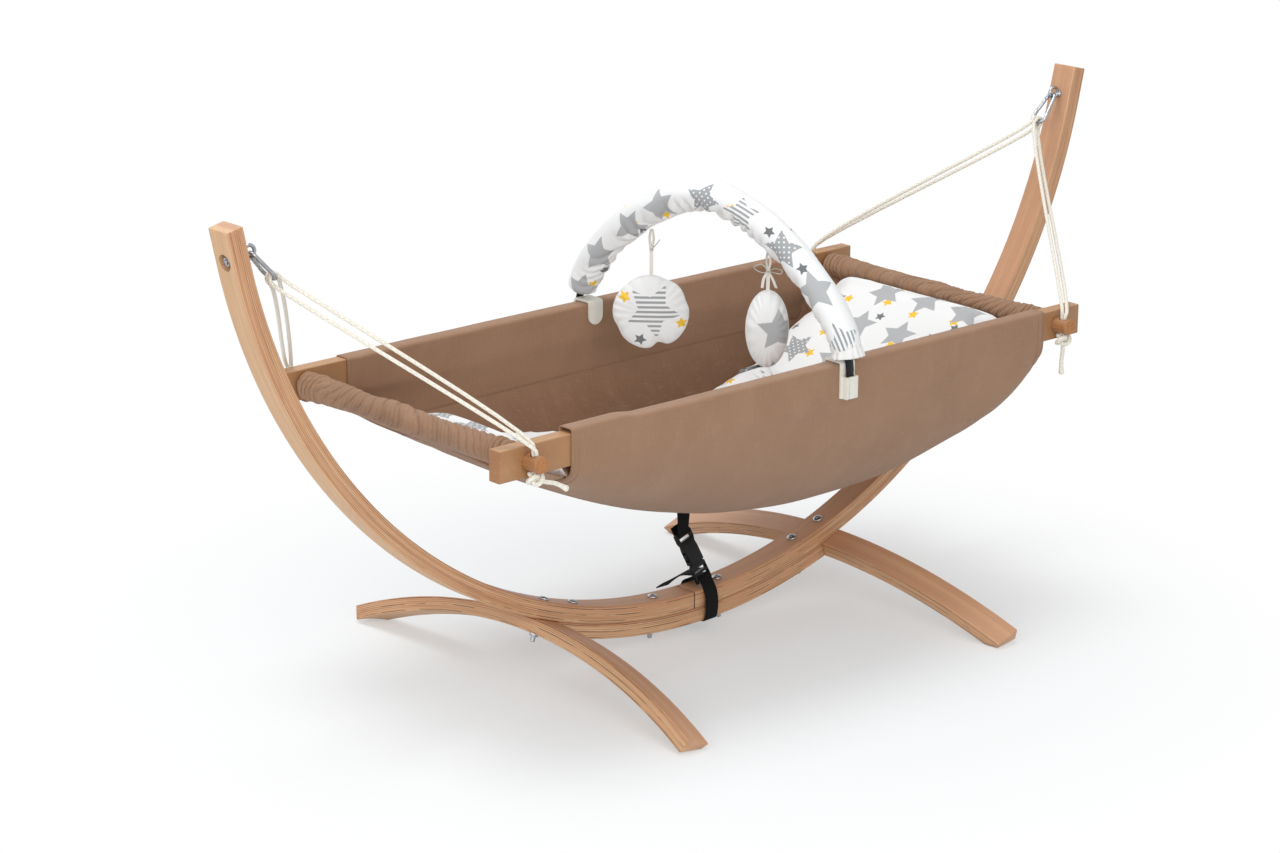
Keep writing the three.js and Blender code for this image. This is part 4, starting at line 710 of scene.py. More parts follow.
def bright_steel(f):
    """Zinc plate: cloudy brightness, fine drawn scratches and dull specks."""
    x, y, z = f.object()
    at = f.vector(x, y, z)
    cloud = f.noise(at, 260, 3, 0.6)
    scratch = f.grain(x * 900, y * 900, z * 5200, 2)
    speck = f.noise(at, 1900, 2).between(0.62, 0.74)
    tone = f.coats(stand().steel, (cloud.between(0.3, 0.7), "#9b9fa3"), (speck * 0.3, "#6c6f73"))
    return f.done(tone, 0.2 + cloud * 0.18 + speck * 0.2, f.bump(scratch, 0.12, 0.06), Metallic=1.0)


def braided_cotton(f):
    """Braid: two sets of yarns that cross on slants round the cord, with painted shade in the grooves at their edges
    and loose fibres between.
    """
    along, turn, _ = f.place()
    slant = along * 1000 / BRAID_PITCH
    right = ((turn * 4 + slant).fraction() - 0.5) * 2
    left = ((turn * 4 - slant).fraction() - 0.5) * 2
    over = ((turn * 2).fraction() - 0.5) * ((slant * 0.5).fraction() - 0.5) > 0.0
    yarn = 1 - (over * abs(right) + (1 - over) * abs(left)) ** 2
    at = f.vector(*f.object())
    fuzz = f.noise(at, 2400, 2)
    dirt = f.noise(at, 60, 2)
    tone = f.coats(sling().cotton,
                   # Painted shade: the yarns' edges, where the braid dips into grooves, are drawn darker.
                   ((1 - yarn) * 0.6, "#cec6b5"),
                   (fuzz.between(0.4, 0.7) * 0.25, "#fbf8f0"),
                   (dirt.between(0.5, 0.8) * 0.2, "#d2c9b6"))
    return f.done(tone, 0.9, f.bump(yarn + fuzz * 0.3, 0.7, 0.5), Sheen_Weight=0.15)


def woven(a, b, pitch):
    """Plain weave on coordinates a and b: ridges of warp and weft that swap over each other."""
    p, q = a / pitch, b / pitch
    swap = ((p.floor() + q.floor()) * 0.5).fraction() > 0.25
    return p.wave(1) * swap + q.wave(1) * (1 - swap)


def taupe_canvas(f, inside):
    """Fine canvas: tight weave with painted shade in its hollows, slubs along both yarns, soft mottling, paler fold
    patches of painted highlight, and painted shade in the creases. The inside is a shaded copy, darker and redder,
    most of all below the rails, for the shade deep in the sling.
    """
    s = sling()
    a, b, crease = f.place()
    weave = woven(a, b, CANVAS_WEAVE)
    slub = f.grain(a * 900, b * 45, 0.0, 2) + f.grain(a * 45, b * 900, 3.0, 2) - 1
    mottle = f.grain(a * 9, b * 9, 0.0, 4, 0.6)
    fold = f.grain(a * 30, b * 12, 1.0, 3, 0.5, 0.6)
    # Painted shade: inside the sling the cloth goes from its own colour at the rails to the darker shade colour lower
    # down, and its mottle and fold colours are darker too.
    base = f.mix(f.object()[2].between(0.235, 0.335), s.shade, s.taupe) if inside else s.taupe
    tone = f.coats(base,
                   (mottle.between(0.3, 0.75) * 0.35, "#7b5940" if inside else "#8e6b51"),
                   # Painted highlight: the fold noise also raises the bump, and its raised patches are drawn paler.
                   (fold.between(0.45, 0.8) * 0.25, "#a47a5d" if inside else "#b19075"),
                   # Painted shade: the weave's hollows are drawn darker.
                   ((1 - weave) * 0.16, "#5f4637"),
                   # Painted shade: darker where the place's third part, the depth of a crease, is large.
                   (crease.between(0.001, 0.0044) * 0.5, "#5f4735"),
                   (slub.between(0.05, 0.3) * 0.2, "#c0a08a"))
    height = f.bump(weave * 0.5 + slub + fold * 3, 0.45, 0.35)
    return f.done(tone, 0.88, height, Sheen_Weight=0.12, Sheen_Roughness=0.5)


def star_mask(x, y, radius, turn):
    """Five-pointed star: a point folds into a tenth of the star, and lies inside where it is behind the line
    from tip to notch."""
    fifth = 2 * math.pi / 5
    reach = (x * x + y * y) ** 0.5
    bearing = y.sum("ARCTAN2", x) / fifth + turn + 4
    tip = fifth / 2 - abs(bearing.fraction() - 0.5) * fifth
    notch = 0.5
    nx, ny = math.sin(fifth / 2) * notch, 1 - math.cos(fifth / 2) * notch
    past = ((reach * tip.cos() - radius) * nx + reach * tip.sin() * ny) / math.hypot(nx, ny)
    return 1 - past.between(-0.0003, 0.0003)


def stars(f, a, b, cell, radius, seed, keep):
    """One layer of stars: a cell each, shifted and turned by chance. Gives the mask, the point from the star's
    middle, and the cell's chance number."""
    p, q = a / cell + seed * 0.31, b / cell
    i, j = p.floor(), q.floor()
    spot = f.vector(i, j, float(seed))
    chance = f.node("ShaderNodeTexWhiteNoise", {"noise_dimensions": "3D"}, [spot])
    shift, lift, turn = f.parts(f.node("ShaderNodeTexWhiteNoise", {"noise_dimensions": "3D"}, [spot],
                                       output="Color"))
    room = 0.47 - radius / cell
    x = ((p - i) - 0.5 - (shift - 0.5) * (2 * room)) * cell
    y = ((q - j) - 0.5 - (lift - 0.5) * (2 * room)) * cell
    return star_mask(x, y, radius, turn) * (chance > 1 - keep), x, y, turn


def striped(f, y):
    """Grey stripes on white, across y."""
    bands = abs((y * 165).fraction() - 0.5).between(0.2, 0.28)
    return f.mix(bands, bedding().stripe, bedding().white)


def printed(f, tone, a, b):
    """The print's cotton: plain weave with faint painted shade in its hollows, and soft grey mottling."""
    weave = woven(a, b, PRINT_WEAVE)
    soft = f.grain(a * 14, b * 14, 0.0, 3, 0.6)
    # Painted shade: the weave's hollows are drawn a little darker.
    tone = f.coats(tone, (soft.between(0.4, 0.8) * 0.10, "#cfd2d6"), ((1 - weave) * 0.06, "#9c9ea0"))
    return f.done(tone, 0.86, f.bump(weave * 0.5 + soft * 2, 0.3, 0.3), Sheen_Weight=0.1)


def star_print(f, source):
    """White cotton with grey stars, plain, dotted and striped, and small yellow and dark ones between."""
    s = bedding()
    a, b, _ = source(f)
    radius = mm(s.star) * MM
    mask, x, y, chance = stars(f, a, b, radius * 2.5, radius, 1, 0.9)
    spots = ((((x + y) * 110).fraction() - 0.5) ** 2 + (((x - y) * 110).fraction() - 0.5) ** 2).between(0.03, 0.05)
    kind = f.mix(chance > 0.25, striped(f, y), f.mix(spots, tint("#f4f4f4"), tint("#a3a6a9")))
    tone = f.mix(mask, s.white, f.mix(chance > 0.55, kind, s.grey))
    for seed, small, ink, keep in ((5, 0.0088, s.yellow, 0.62), (9, 0.0082, s.dark, 0.5)):
        more, _, _, _ = stars(f, a, b, 0.058, small, seed, keep)
        tone = f.mix(more * (1 - mask), tone, ink)
    return printed(f, tone, a, b)


def toy_print(f):
    """White cotton with one large striped star, and small yellow and dark ones towards the edge."""
    s = bedding()
    a, b, _ = f.place()
    stars_on_toy = ((0.002, 0.004, 0.036, 0.12, striped(f, b)), (-0.033, 0.021, 0.0085, 0.3, s.yellow),
                    (0.038, -0.012, 0.008, 0.7, s.yellow), (-0.013, -0.033, 0.0085, 0.1, s.dark))
    tone = f.coats(s.white, *[(star_mask(a - x, b - y, radius, turn), ink)
                              for x, y, radius, turn, ink in stars_on_toy])
    return printed(f, tone, a, b)


def moulded(f, base, low, high, specular=0.5):
    """Moulded plastic: fine grain, faint flow marks and handled, duller patches."""
    at = f.vector(*f.object())
    grain, flow, rub = f.noise(at, 2600, 2), f.noise(at, 90, 3, 0.6, 0.8), f.noise(at, 300, 3, 0.6)
    tone = f.coats(base, (flow.between(0.35, 0.75) * 0.4, low), (rub.between(0.6, 0.8) * 0.3, high))
    return f.done(tone, 0.32 + flow * 0.14 + rub * 0.1, f.bump(grain + flow, 0.16, 0.15),
                  Specular_IOR_Level=specular)


def webbing(f):
    """Woven strap: ribs across, a herringbone of yarns along, and painted grey highlights on the ribs, with paler
    fuzz.
    """
    along, across, _ = f.place()
    rib = along.wave(WEB_RIB)
    twill = abs((abs(across) * 900 + along * 620).fraction() - 0.5)
    fuzz = f.noise(f.vector(along, across, 0.0), 1800, 2)
    # Painted highlight: the crests of the ribs are drawn grey; the fuzz adds paler loose fibres.
    tone = f.coats(strap().web, (rib * 0.5 + fuzz * 0.3, "#19191a"), (twill * 0.5, "#0a0a0a"))
    return f.done(tone, 0.78, f.bump(rib + twill * 0.6, 0.6, 0.3), Specular_IOR_Level=0.15)


def beech():
    return material("beech_laminated", laminated_beech)


def steel():
    return material("steel_zinc", bright_steel)


def cotton():
    return material("cotton_braid", braided_cotton)


def canvas():
    """Finishes of the sling's cloth: its outside, and its inside with painted shade."""
    return [material("canvas_taupe", taupe_canvas, False), material("canvas_taupe_inside_painted_shade", taupe_canvas, True)]


def print_on_cloth():
    return material("cotton_stars", star_print, Finish.place)


def print_flat(name, shift):
    """The print laid flat on a piece, moved along by the shift."""
    def source(f):
        x, y, z = f.object()
        return x + z * 0.45 + shift, y, z
    return material(name, star_print, source)


def print_on_bar():
    """The print wound once round the toy bar, two rows of stars to a turn."""
    def source(f):
        along, around, face = f.place()
        girth = 2 * math.pi * toybar().radius
        return along, (around / girth).fraction() * girth, face
    return material("cotton_stars_bar", star_print, source)


def print_on_toy():
    return material("cotton_star_toy", toy_print)


def white_plastic():
    return material("plastic_white", moulded, toybar().plastic, "#d9d5c8", "#f2f0e8")


def black_plastic():
    return material("plastic_black", moulded, strap().buckle, "#121213", "#1d1d1f", 0.22)


def black_web():
    return material("webbing_black", webbing)


# ---------------------------------------------------------------- places on the cradle, as in the solids

SEAT = 0.3
TIP_BOLT = 7.0
EYE_STANDOFF, EYE_RING, EYE_WIRE = 11.5, 7.25, 2.25
HOOK_WIRE, HOOK_TOP, HOOK_BASE, HOOK_SPAN = 2.5, 5.5, 10.0, 29.5
HANG = math.radians(42)
DOWEL_X, DOWEL_Z, DOWEL_END = 438.4, 363.4, 232.5
RAIL_OUTSIDE = 210.0
CORD_Y = 221.25
BOLTS = (("foot", 19.9), ("splice", 15.8), ("centre", 4.6))
SLING_X = (-376.0, 412.0)
CLOTH_SPACE = 2.4
SLING_HALF = 212.7
SLING_TOP, SLING_WIDE, SLING_DEPTH = 382.0, 212.0, 232.0


def outward(turn, side):
    """Direction away from the bow's centre at a turn from its middle, on one side."""
    turn = np.asarray(turn, float)
    return np.stack([side * np.sin(turn), 0 * turn, -np.cos(turn)], -1)


def onward(turn, side):
    """Direction along the bow towards its tip."""
    turn = np.asarray(turn, float)
    return np.stack([side * np.cos(turn), 0 * turn, np.sin(turn)], -1)


def bow_point(degrees, side, radius):
    return np.array([0, 0, mm(stand().bow_height)]) + outward(math.radians(degrees), side) * radius


def eye_point(side, inward):
    """Point on the eye bolt's axis, that far inward from the bow's outside."""
    s = stand()
    turn = s.bow_angle
    return (bow_point(math.degrees(turn), side, mm(s.bow_radius)) + onward(turn, side) * TIP_BOLT
            - outward(turn, side) * inward)


def hang_down(side):
    return np.array([-side * math.sin(HANG), 0, -math.cos(HANG)])


def hang_across(side):
    return np.array([-side * math.cos(HANG), 0, math.sin(HANG)])


def hook_point(side, across, down):
    """Points in a snap hook's own plane, measured from the middle of its top bend."""
    swing = eye_point(side, mm(stand().bow_thickness) + EYE_STANDOFF) + hang_down(side) * EYE_RING
    top = swing + hang_down(side) * (HOOK_TOP - EYE_WIRE - HOOK_WIRE - SEAT)
    across, down = np.asarray(across, float)[..., None], np.asarray(down, float)[..., None]
    return top + across * Y + down * hang_down(side)


def sling_depth(x):
    """Depth of the sling under the rails' top and the power of its section, along its length."""
    x = np.asarray(x, float)
    low_x, low_z, end_z, top = 133.0, mm(sling().low_height), 351.0, mm(sling().rail_top)
    head = x > low_x
    run = np.where(head, DOWEL_X - low_x, DOWEL_X + low_x)
    part = np.abs(x - low_x) / run
    rise = (end_z - low_z) * part ** np.where(head, 3.3, 1.88)
    return top - low_z - rise, 2.05 + 6 * part ** 5


def sling_height(x, y, inset=0.0):
    """Height of the sling's outside, or of a surface inset from it, over a point of the plan."""
    depth, power = sling_depth(x)
    part = np.minimum(np.abs(y) / (SLING_HALF - inset), 1)
    return mm(sling().rail_top) - (depth - inset) * (1 - part ** power) ** (1 / power)


def mattress_top(x, y):
    s = bedding()
    part = np.minimum(np.abs(y) / mm(s.mattress_width), 1)
    crown = mm(s.mattress_thickness) + 6 * np.cos(part * math.pi / 2)
    head_rise = (15 * smooth((x - 70) / 110) + 14 * smooth((x - 175) / 60)) * (1 - smooth((x - 300) / 50))
    crown = crown + head_rise - 6 * (1 - smooth((x - 20) / 100))
    return sling_height(x, y, CLOTH_SPACE) + SEAT + crown * (1 - part ** (6 + 8 * smooth((x - 60) / 100))) ** 0.5


# ---------------------------------------------------------------- stage

FLOOR_REACH = 14000
SEEN_RAYS = ("Is Camera Ray", "Is Glossy Ray", "Is Transmission Ray")


class CRADLE_OT_stage(Operator):
    """Pale floor, soft studio lamps and the camera"""
    bl_idname = "cradle.stage"
    bl_label = "Stage"

    def execute(self, context):
        scene = context.scene
        scene.view_settings.view_transform = "Standard"
        reach = FLOOR_REACH * np.array([-1.0, 1.0])
        corners = np.stack([*np.meshgrid(reach, reach), np.zeros((2, 2))], -1)
        solid("floor", [Patch(corners, flip=True)], [material("floor_pale", self.floor)])
        world = bpy.data.worlds.new("studio")
        scene.world = world
        world.use_nodes = True
        nodes, links = world.node_tree.nodes, world.node_tree.links
        back = nodes["Background"]
        back.inputs["Color"].default_value = (1.0, 1.0, 1.0, 1.0)
        rays = nodes.new("ShaderNodeLightPath")
        seen = rays.outputs[SEEN_RAYS[0]]
        for kind in SEEN_RAYS[1:]:
            most = nodes.new("ShaderNodeMath")
            most.operation = "MAXIMUM"
            links.new(seen, most.inputs[0])
            links.new(rays.outputs[kind], most.inputs[1])
            seen = most.outputs[0]
        level = nodes.new("ShaderNodeMapRange")
        level.inputs["To Min"].default_value = 0.45
        level.inputs["To Max"].default_value = 1.0
        links.new(seen, level.inputs["Value"])
        links.new(level.outputs[0], back.inputs["Strength"])
        for name, spot, aim, size, power in (
                ("overhead", (-0.25, 0.55, 3.5), (0.0, 0.0, 0.2), 1.6, 50),
                ("front", (-1.6, -3.4, 1.9), (0.0, 0.0, 0.3), 2.6, 54),
                ("side", (-3.3, -0.9, 1.7), (0.0, 0.0, 0.4), 1.8, 28),
                ("rim", (0.4, 3.2, 2.6), (0.0, 0.0, 0.3), 2.2, 12)):
            lamp = bpy.data.lights.new(name, "AREA")
            lamp.size, lamp.energy = size, power
            holder = bpy.data.objects.new(name, lamp)
            scene.collection.objects.link(holder)
            holder.location = spot
            way = np.array(aim) - np.array(spot)
            tilt, bearing = math.acos(-way[2] / np.linalg.norm(way)), math.atan2(way[1], way[0])
            holder.rotation_euler = (tilt, 0, bearing - math.pi / 2)
        lens = bpy.data.cameras.new("camera")
        lens.lens, lens.sensor_width, lens.sensor_fit, lens.clip_end = 103.116, 36.0, "HORIZONTAL", 60.0
        camera = bpy.data.objects.new("camera", lens)
        scene.collection.objects.link(camera)
        camera.location = (-2.95809, -3.12564, 1.57170)
        camera.rotation_euler = tuple(math.radians(a) for a in (73.1363, -0.4777, -42.5139))
        scene.camera = camera
        return {"FINISHED"}

    @staticmethod
    def floor(f):
        """Pale floor that takes the lamps' shadows near the object. Away from it a painted white glow, seen by
        camera, glossy and transmission rays, grows until the floor is white and the shadows fade. Its faint blue tint
        offsets the warm light that the cradle bounces onto it.
        """
        cloud = f.noise(f.vector(*f.object()), 1.3, 2)
        tone = f.mix(cloud.between(0.3, 0.7), (0.86, 0.90, 0.925), (0.88, 0.92, 0.945))
        plain = f.node("ShaderNodeBsdfDiffuse", None, {"Color": tone})
        white = f.node("ShaderNodeEmission", None, {"Color": (1.0, 1.0, 1.0), "Strength": 1.0})
        camera, glossy, through = (f.node("ShaderNodeLightPath", output=kind) for kind in SEEN_RAYS)
        seen = camera.most(glossy).most(through)
        x, y, _ = f.object()
        # Painted glow: the share of white emission grows with distance from the middle, so the shadows fade into
        # white.
        away = ((x * x + y * y) ** 0.5).between(0.24, 0.85)
        both = f.node("ShaderNodeMixShader", None, [seen * (away * 0.68 + 0.32), plain, white])
        f.node("ShaderNodeOutputMaterial", None, [both])
        return f.material


# ---------------------------------------------------------------- stand

class CRADLE_OT_bow(Operator):
    """Two laminated halves of the bow, with an open counterbore at each tip, and the splice under them"""
    bl_idname = "cradle.bow"
    bl_label = "Bow and splice"

    def execute(self, context):
        s = stand()
        width, thick, low = mm(s.bar_width), mm(s.bow_thickness), mm(s.lower_thickness)
        radius, centre_z, edge = mm(s.bow_radius), mm(s.bow_height), mm(s.edge)
        middle = radius - thick / 2
        arc = middle * s.bow_angle

        def half(side):
            def frame_at(t):
                turn = np.minimum(t, arc) / middle
                out = outward(turn, side)
                straight_on = onward(turn, side) * np.maximum(t - arc, 0)[:, None]
                centre = Z * centre_z + out * middle + straight_on
                return centre, np.broadcast_to(Y, centre.shape), out
            return frame_at

        for label, side in SIDES:
            bent = bar(half(side), SEAT / 2, arc + mm(s.tip_length), width, thick, edge, 1.2, 130)
            body = solid(f"bow_half_{label}", [bent], [beech()])
            drill(body, peg(eye_point(side, -6), eye_point(side, 9), 10, sides=48),
                  peg(eye_point(side, 4), eye_point(side, thick + 6), 3.25, sides=24))
            place_on(body, "stand", "beech", f"bow_{label}")
        under = radius + SEAT + low / 2
        reach = s.foot_angle - math.asin((width / 2 + SEAT) / radius)

        def splice(t):
            out = outward(t / under, 1)
            return Z * centre_z + out * under, np.broadcast_to(Y, (len(t), 3)), out

        lower = bar(splice, -reach * under, reach * under, width, low, edge * 0.8, 1.0, 50)
        place_on(solid("splice_bar", [lower], [beech()]), "stand", "beech", "bow_splice")
        return {"FINISHED"}


class CRADLE_OT_feet(Operator):
    """Two laminated arches that cross under the bow and stand flat on the floor"""
    bl_idname = "cradle.feet"
    bl_label = "Feet"

    def execute(self, context):
        s = stand()
        low, radius = mm(s.lower_thickness), mm(s.foot_radius)
        middle = radius - low / 2
        sweep = math.asin(mm(s.foot_span) / radius)
        degrees = math.degrees(s.foot_angle)
        for label, side in SIDES:
            out, along = outward(s.foot_angle, side), onward(s.foot_angle, side)
            hub = bow_point(degrees, side, mm(s.bow_radius) + SEAT) + out * radius

            def frame_at(t):
                up = np.sin(t / middle)[:, None] * Y - np.cos(t / middle)[:, None] * out
                return hub + up * middle, np.broadcast_to(along, up.shape), up

            arch = bar(frame_at, -sweep * middle, sweep * middle, mm(s.bar_width), low, mm(s.edge) * 0.8, 1.4, 90)
            arch.points[:, 2] = np.maximum(arch.points[:, 2], 0)
            arch.quad_place[..., 2] *= -1
            arch.tri_place[..., 2] *= -1
            place_on(solid(f"foot_arch_{label}", [arch], [beech()]), "stand", "beech", f"foot_{label}")
        return {"FINISHED"}


class CRADLE_OT_fittings(Operator):
    """Domed bolts with hexagon sockets, their nuts, and the eye bolts at the tips"""
    bl_idname = "cradle.fittings"
    bl_label = "Bolts and eye bolts"

    def execute(self, context):
        s = stand()
        thick, low = mm(s.bow_thickness), mm(s.lower_thickness)
        for label, side in SIDES:
            for name, degrees in BOLTS:
                up = -outward(math.radians(degrees), side)
                base = bow_point(degrees, side, mm(s.bow_radius) - thick)
                turn = np.linspace(0, math.pi / 2, 9)
                dome = np.stack([2.4 + 4.1 * np.cos(turn), 1.0 + 2.3 * np.sin(turn)], -1)
                shank = -(thick + SEAT + low + 12)
                profile = np.concatenate([[[2.2, shank], [3, shank + 0.8], [3, SEAT], [6.3, SEAT], [6.5, SEAT + 0.2]],
                                          dome, [[1.2, 3.3]]])
                bolt = solid(f"{name}_bolt_head_{label}", [turned(profile, base, up, 40)], [steel()])
                drill(bolt, turned([[2.3, 1.3], [2.3, 6.0]], base, up, 6))
                place_on(bolt, "stand", "zinc_steel", f"{name}_bolt_{label}")
                nut = softened(f"{name}_hex_nut_{label}", f"{name}_nut_{label}", 0.5, steel())
                place_on(nut, "stand", "zinc_steel", f"{name}_nut_{label}")
            middle = eye_point(side, thick + EYE_STANDOFF)
            turn = circle(48)
            ring = middle + EYE_RING * (np.cos(turn)[:, None] * X + np.sin(turn)[:, None] * Z)
            base = eye_point(side, 1.2)
            way = eye_point(side, 10) - base
            inner = thick + EYE_STANDOFF - EYE_RING - 1.2
            step = np.linspace(0, 1, 60)
            thread = np.stack([3 - 0.28 * (np.arange(60) % 2), 0.4 + step * 12], -1)
            neck = [[3, 14], [3, thick - 1.2 + SEAT], [4.3, thick - 1.2 + SEAT], [4.5, thick - 0.8 + SEAT],
                    [4.4, thick + 0.4], [3.2, thick + 1.2], [2.9, inner]]
            shaft = turned(np.concatenate([[[2.4, 0]], thread, neck]), base, way, 28)
            eye = solid(f"eye_ring_{label}", [tube(ring, EYE_WIRE, Y, 20, loop=True), shaft], [steel()])
            place_on(eye, "stand", "zinc_steel", f"eye_bolt_{label}")
            nut = softened(f"eye_hex_nut_{label}", f"eye_nut_{label}", 0.5, steel())
            place_on(nut, "stand", "zinc_steel", f"eye_nut_{label}")
            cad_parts[f"eye_washer_{label}"].material_slots[0].material = steel()
        return {"FINISHED"}


class CRADLE_OT_hooks(Operator):
    """Snap hooks: a pear-shaped loop of wire with a straight sprung gate"""
    bl_idname = "cradle.hooks"
    bl_label = "Snap hooks"

    def execute(self, context):
        taper = math.asin((HOOK_BASE - HOOK_TOP) / HOOK_SPAN)
        start = np.array([HOOK_TOP * math.cos(taper), -HOOK_TOP * math.sin(taper)])
        end = np.array([HOOK_BASE * math.cos(taper), HOOK_SPAN - HOOK_BASE * math.sin(taper)])
        top = np.linspace(taper, math.pi - taper, 18)
        base = np.linspace(math.pi - taper, 2 * math.pi + taper, 26)
        line = lambda part: start + (end - start) * part
        curve = lambda turn, radius, drop: np.stack([radius * np.cos(turn), drop - radius * np.sin(turn)], -1)
        flat = np.concatenate([[line(0.14)], curve(top, HOOK_TOP, 0), curve(base, HOOK_BASE, HOOK_SPAN),
                               [line(0.84)]])
        for label, side in SIDES:
            wire = tube(hook_point(side, flat[:, 0], flat[:, 1]), HOOK_WIRE, hang_across(side), 20)
            hook = solid(f"hook_wire_{label}", [wire], [steel()])
            place_on(hook, "cradle", "zinc_steel", f"snap_hook_{label}")
            parts = np.linspace(0.19, 0.8, 12)
            path = hook_point(side, *np.stack([line(p) for p in parts], -1))
            radii = HOOK_WIRE * np.array([0.86, 0.95] + [0.96] * 8 + [0.9, 0.8])
            gate = solid(f"gate_wire_{label}", [tube(path, radii, hang_across(side), 20)], [steel()])
            place_on(gate, f"hook_gate_{label}", "zinc_steel", f"hook_gate_{label}")
            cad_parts[f"gate_pin_{label}"].material_slots[0].material = steel()
        return {"FINISHED"}


# ---------------------------------------------------------------- cradle frame and cords

class CRADLE_OT_rails(Operator):
    """Two planed rails on edge and two turned dowels, with the cords' holes through the dowels"""
    bl_idname = "cradle.rails"
    bl_label = "Rails and dowels"

    def execute(self, context):
        s = sling()
        half, high, thick = mm(s.rail_length) / 2, mm(s.rail_height), mm(s.rail_thickness)
        z = mm(s.rail_top) - high / 2
        radius = mm(s.dowel_radius)
        wood = material("rail_planed", rail_beech)
        for label, end in ENDS:
            y = end * (RAIL_OUTSIDE - thick / 2)
            plank = bar(straight((-half, y, z), (half, y, z), Y, Z), 0, 2 * half, thick, high, 1.3, 1.0, 40)
            rail = solid(f"rail_bar_{label}", [plank], [wood])
            within, beyond = RAIL_OUTSIDE - 25, RAIL_OUTSIDE + 6
            drill(rail, *[peg((side * DOWEL_X, end * within, DOWEL_Z), (side * DOWEL_X, end * beyond, DOWEL_Z),
                              radius + 0.2, sides=48) for _, side in SIDES])
            place_on(rail, "cradle", "beech_rail", f"rail_{label}")
        for label, side in SIDES:
            x = side * DOWEL_X
            rod = peg((x, -DOWEL_END, DOWEL_Z), (x, DOWEL_END, DOWEL_Z), radius, 1.5, 48)
            dowel = solid(f"dowel_rod_{label}", [rod], [material("beech_dowel", dowel_beech)])
            drill(dowel, *[peg((x, end * CORD_Y, DOWEL_Z - 14), (x, end * CORD_Y, DOWEL_Z + 14), 5.4)
                           for _, end in ENDS])
            place_on(dowel, "cradle", "beech", f"dowel_{label}")
        return {"FINISHED"}


class CRADLE_OT_cords(Operator):
    """Four braided cords: each goes up from its dowel, over the snap hook and back down into a tied knot"""
    bl_idname = "cradle.cords"
    bl_label = "Hanging cords"

    def execute(self, context):
        radius = mm(sling().cord_radius)
        for label, side in SIDES:
            for place, end in ENDS:
                bend, spread = HOOK_WIRE + radius + 1.2, radius + 0.6
                rest = hook_point(side, end * spread, HOOK_SPAN + math.sqrt(HOOK_BASE ** 2 - spread ** 2))
                down, across = hang_down(side), hang_across(side)
                at = lambda y, z, out=0.0: np.array([side * (DOWEL_X + out), end * y, z])

                def leg(shift, lean):
                    y = CORD_Y + shift
                    return [at(y, 346), at(y, DOWEL_Z), at(y, DOWEL_Z + 12.3),
                            at(y - 1.15, DOWEL_Z + 20, radius) + across * lean * radius,
                            rest + across * lean * bend + down * bend,
                            rest + across * lean * bend,
                            rest + (across * lean - down) * bend * math.sqrt(0.5)]

                points = [*leg(-2.5, 1), rest - down * bend, *leg(2.5, -1)[::-1]]
                parts = [tube(route(points, 9), radius, Y, 14)]
                middle = at(CORD_Y, DOWEL_Z - 10 - SEAT - 7.6)
                turn = circle(120)
                ring = np.stack([np.cos(2 * turn + end), np.sin(2 * turn + end), 0 * turn], -1)
                coil = ring * (5.8 + 2.6 * np.cos(3 * turn))[:, None] + Z * (4.8 * np.sin(3 * turn))[:, None]
                beside = np.cross(tangents(coil, True), unit(ring + 1e-6))
                parts.append(tube(middle + coil, radius * 1.2, beside, 12, loop=True))
                if side < 0 and end < 0:
                    way = unit(np.array([0.9, -0.2, -0.38]))
                    tail = [middle, middle + way * 12 - Y * 2, middle + way * 28 + Z * 1.5, middle + way * 43 - Z]
                else:
                    tail = [middle - Z * 2, middle - Z * 14 + X * 0.8, middle - Z * 29 - X * 0.8, middle - Z * 43]
                tail = route(tail, 8)
                thick = radius * np.concatenate([1.12 * np.ones(len(tail) - 5), [1.18, 1.26, 1.36, 1.5, 1.54]])
                parts.append(tube(tail, thick, Y, 14))
                cord = solid(f"cord_braid_{label}_{place}", parts, [cotton()])
                place_on(cord, "cradle", "cotton_cord", f"cord_{label}_{place}")
        return {"FINISHED"}


# ---------------------------------------------------------------- fabric sling

END_REACH = 60


def facing(patch, way):
    """The patch with its faces turned so that the middle one looks that way."""
    q = patch.points[patch.quads[len(patch.quads) // 2]]
    if np.cross(q[1] - q[0], q[3] - q[0]) @ np.array(way, float) < 0:
        patch.quads, patch.quad_place = patch.quads[:, ::-1], patch.quad_place[:, ::-1]
    return patch


def spread(points):
    """Area of a grid of points, in square metres."""
    a, b = points[1:, :-1] - points[:-1, :-1], points[:-1, 1:] - points[:-1, :-1]
    c, d = points[1:, :-1] - points[1:, 1:], points[:-1, 1:] - points[1:, 1:]
    halves = np.linalg.norm(np.cross(a, b), axis=-1) + np.linalg.norm(np.cross(c, d), axis=-1)
    return float(halves.sum() / 2) * MM * MM


def thicken(piece, thickness, inner=0):
    """Gives a sheet its thickness on both sides of its grid; its inside may take the next material."""
    wall = piece.modifiers.new("thickness", "SOLIDIFY")
    wall.thickness, wall.offset, wall.material_offset, wall.use_even_offset = thickness * MM, 0.0, inner, False
    return settle(piece)


def canvas_sheet(name, patch, thickness):
    """Sheet of the sling's cloth, with the painted-shade finish on its inside."""
    return thicken(solid(name, [patch], canvas()), thickness, 1)


def lined(piece, chosen):
    """Gives the second material to the faces whose middles and normals are chosen."""
    faces = piece.data.polygons
    middle, normal, index = np.empty(len(faces) * 3), np.empty(len(faces) * 3), np.empty(len(faces), np.int32)
    faces.foreach_get("center", middle)
    faces.foreach_get("normal", normal)
    faces.foreach_get("material_index", index)
    picked = chosen(middle.reshape(-1, 3) / MM, normal.reshape(-1, 3))
    faces.foreach_set("material_index", np.where(picked, 1, index).astype(np.int32))


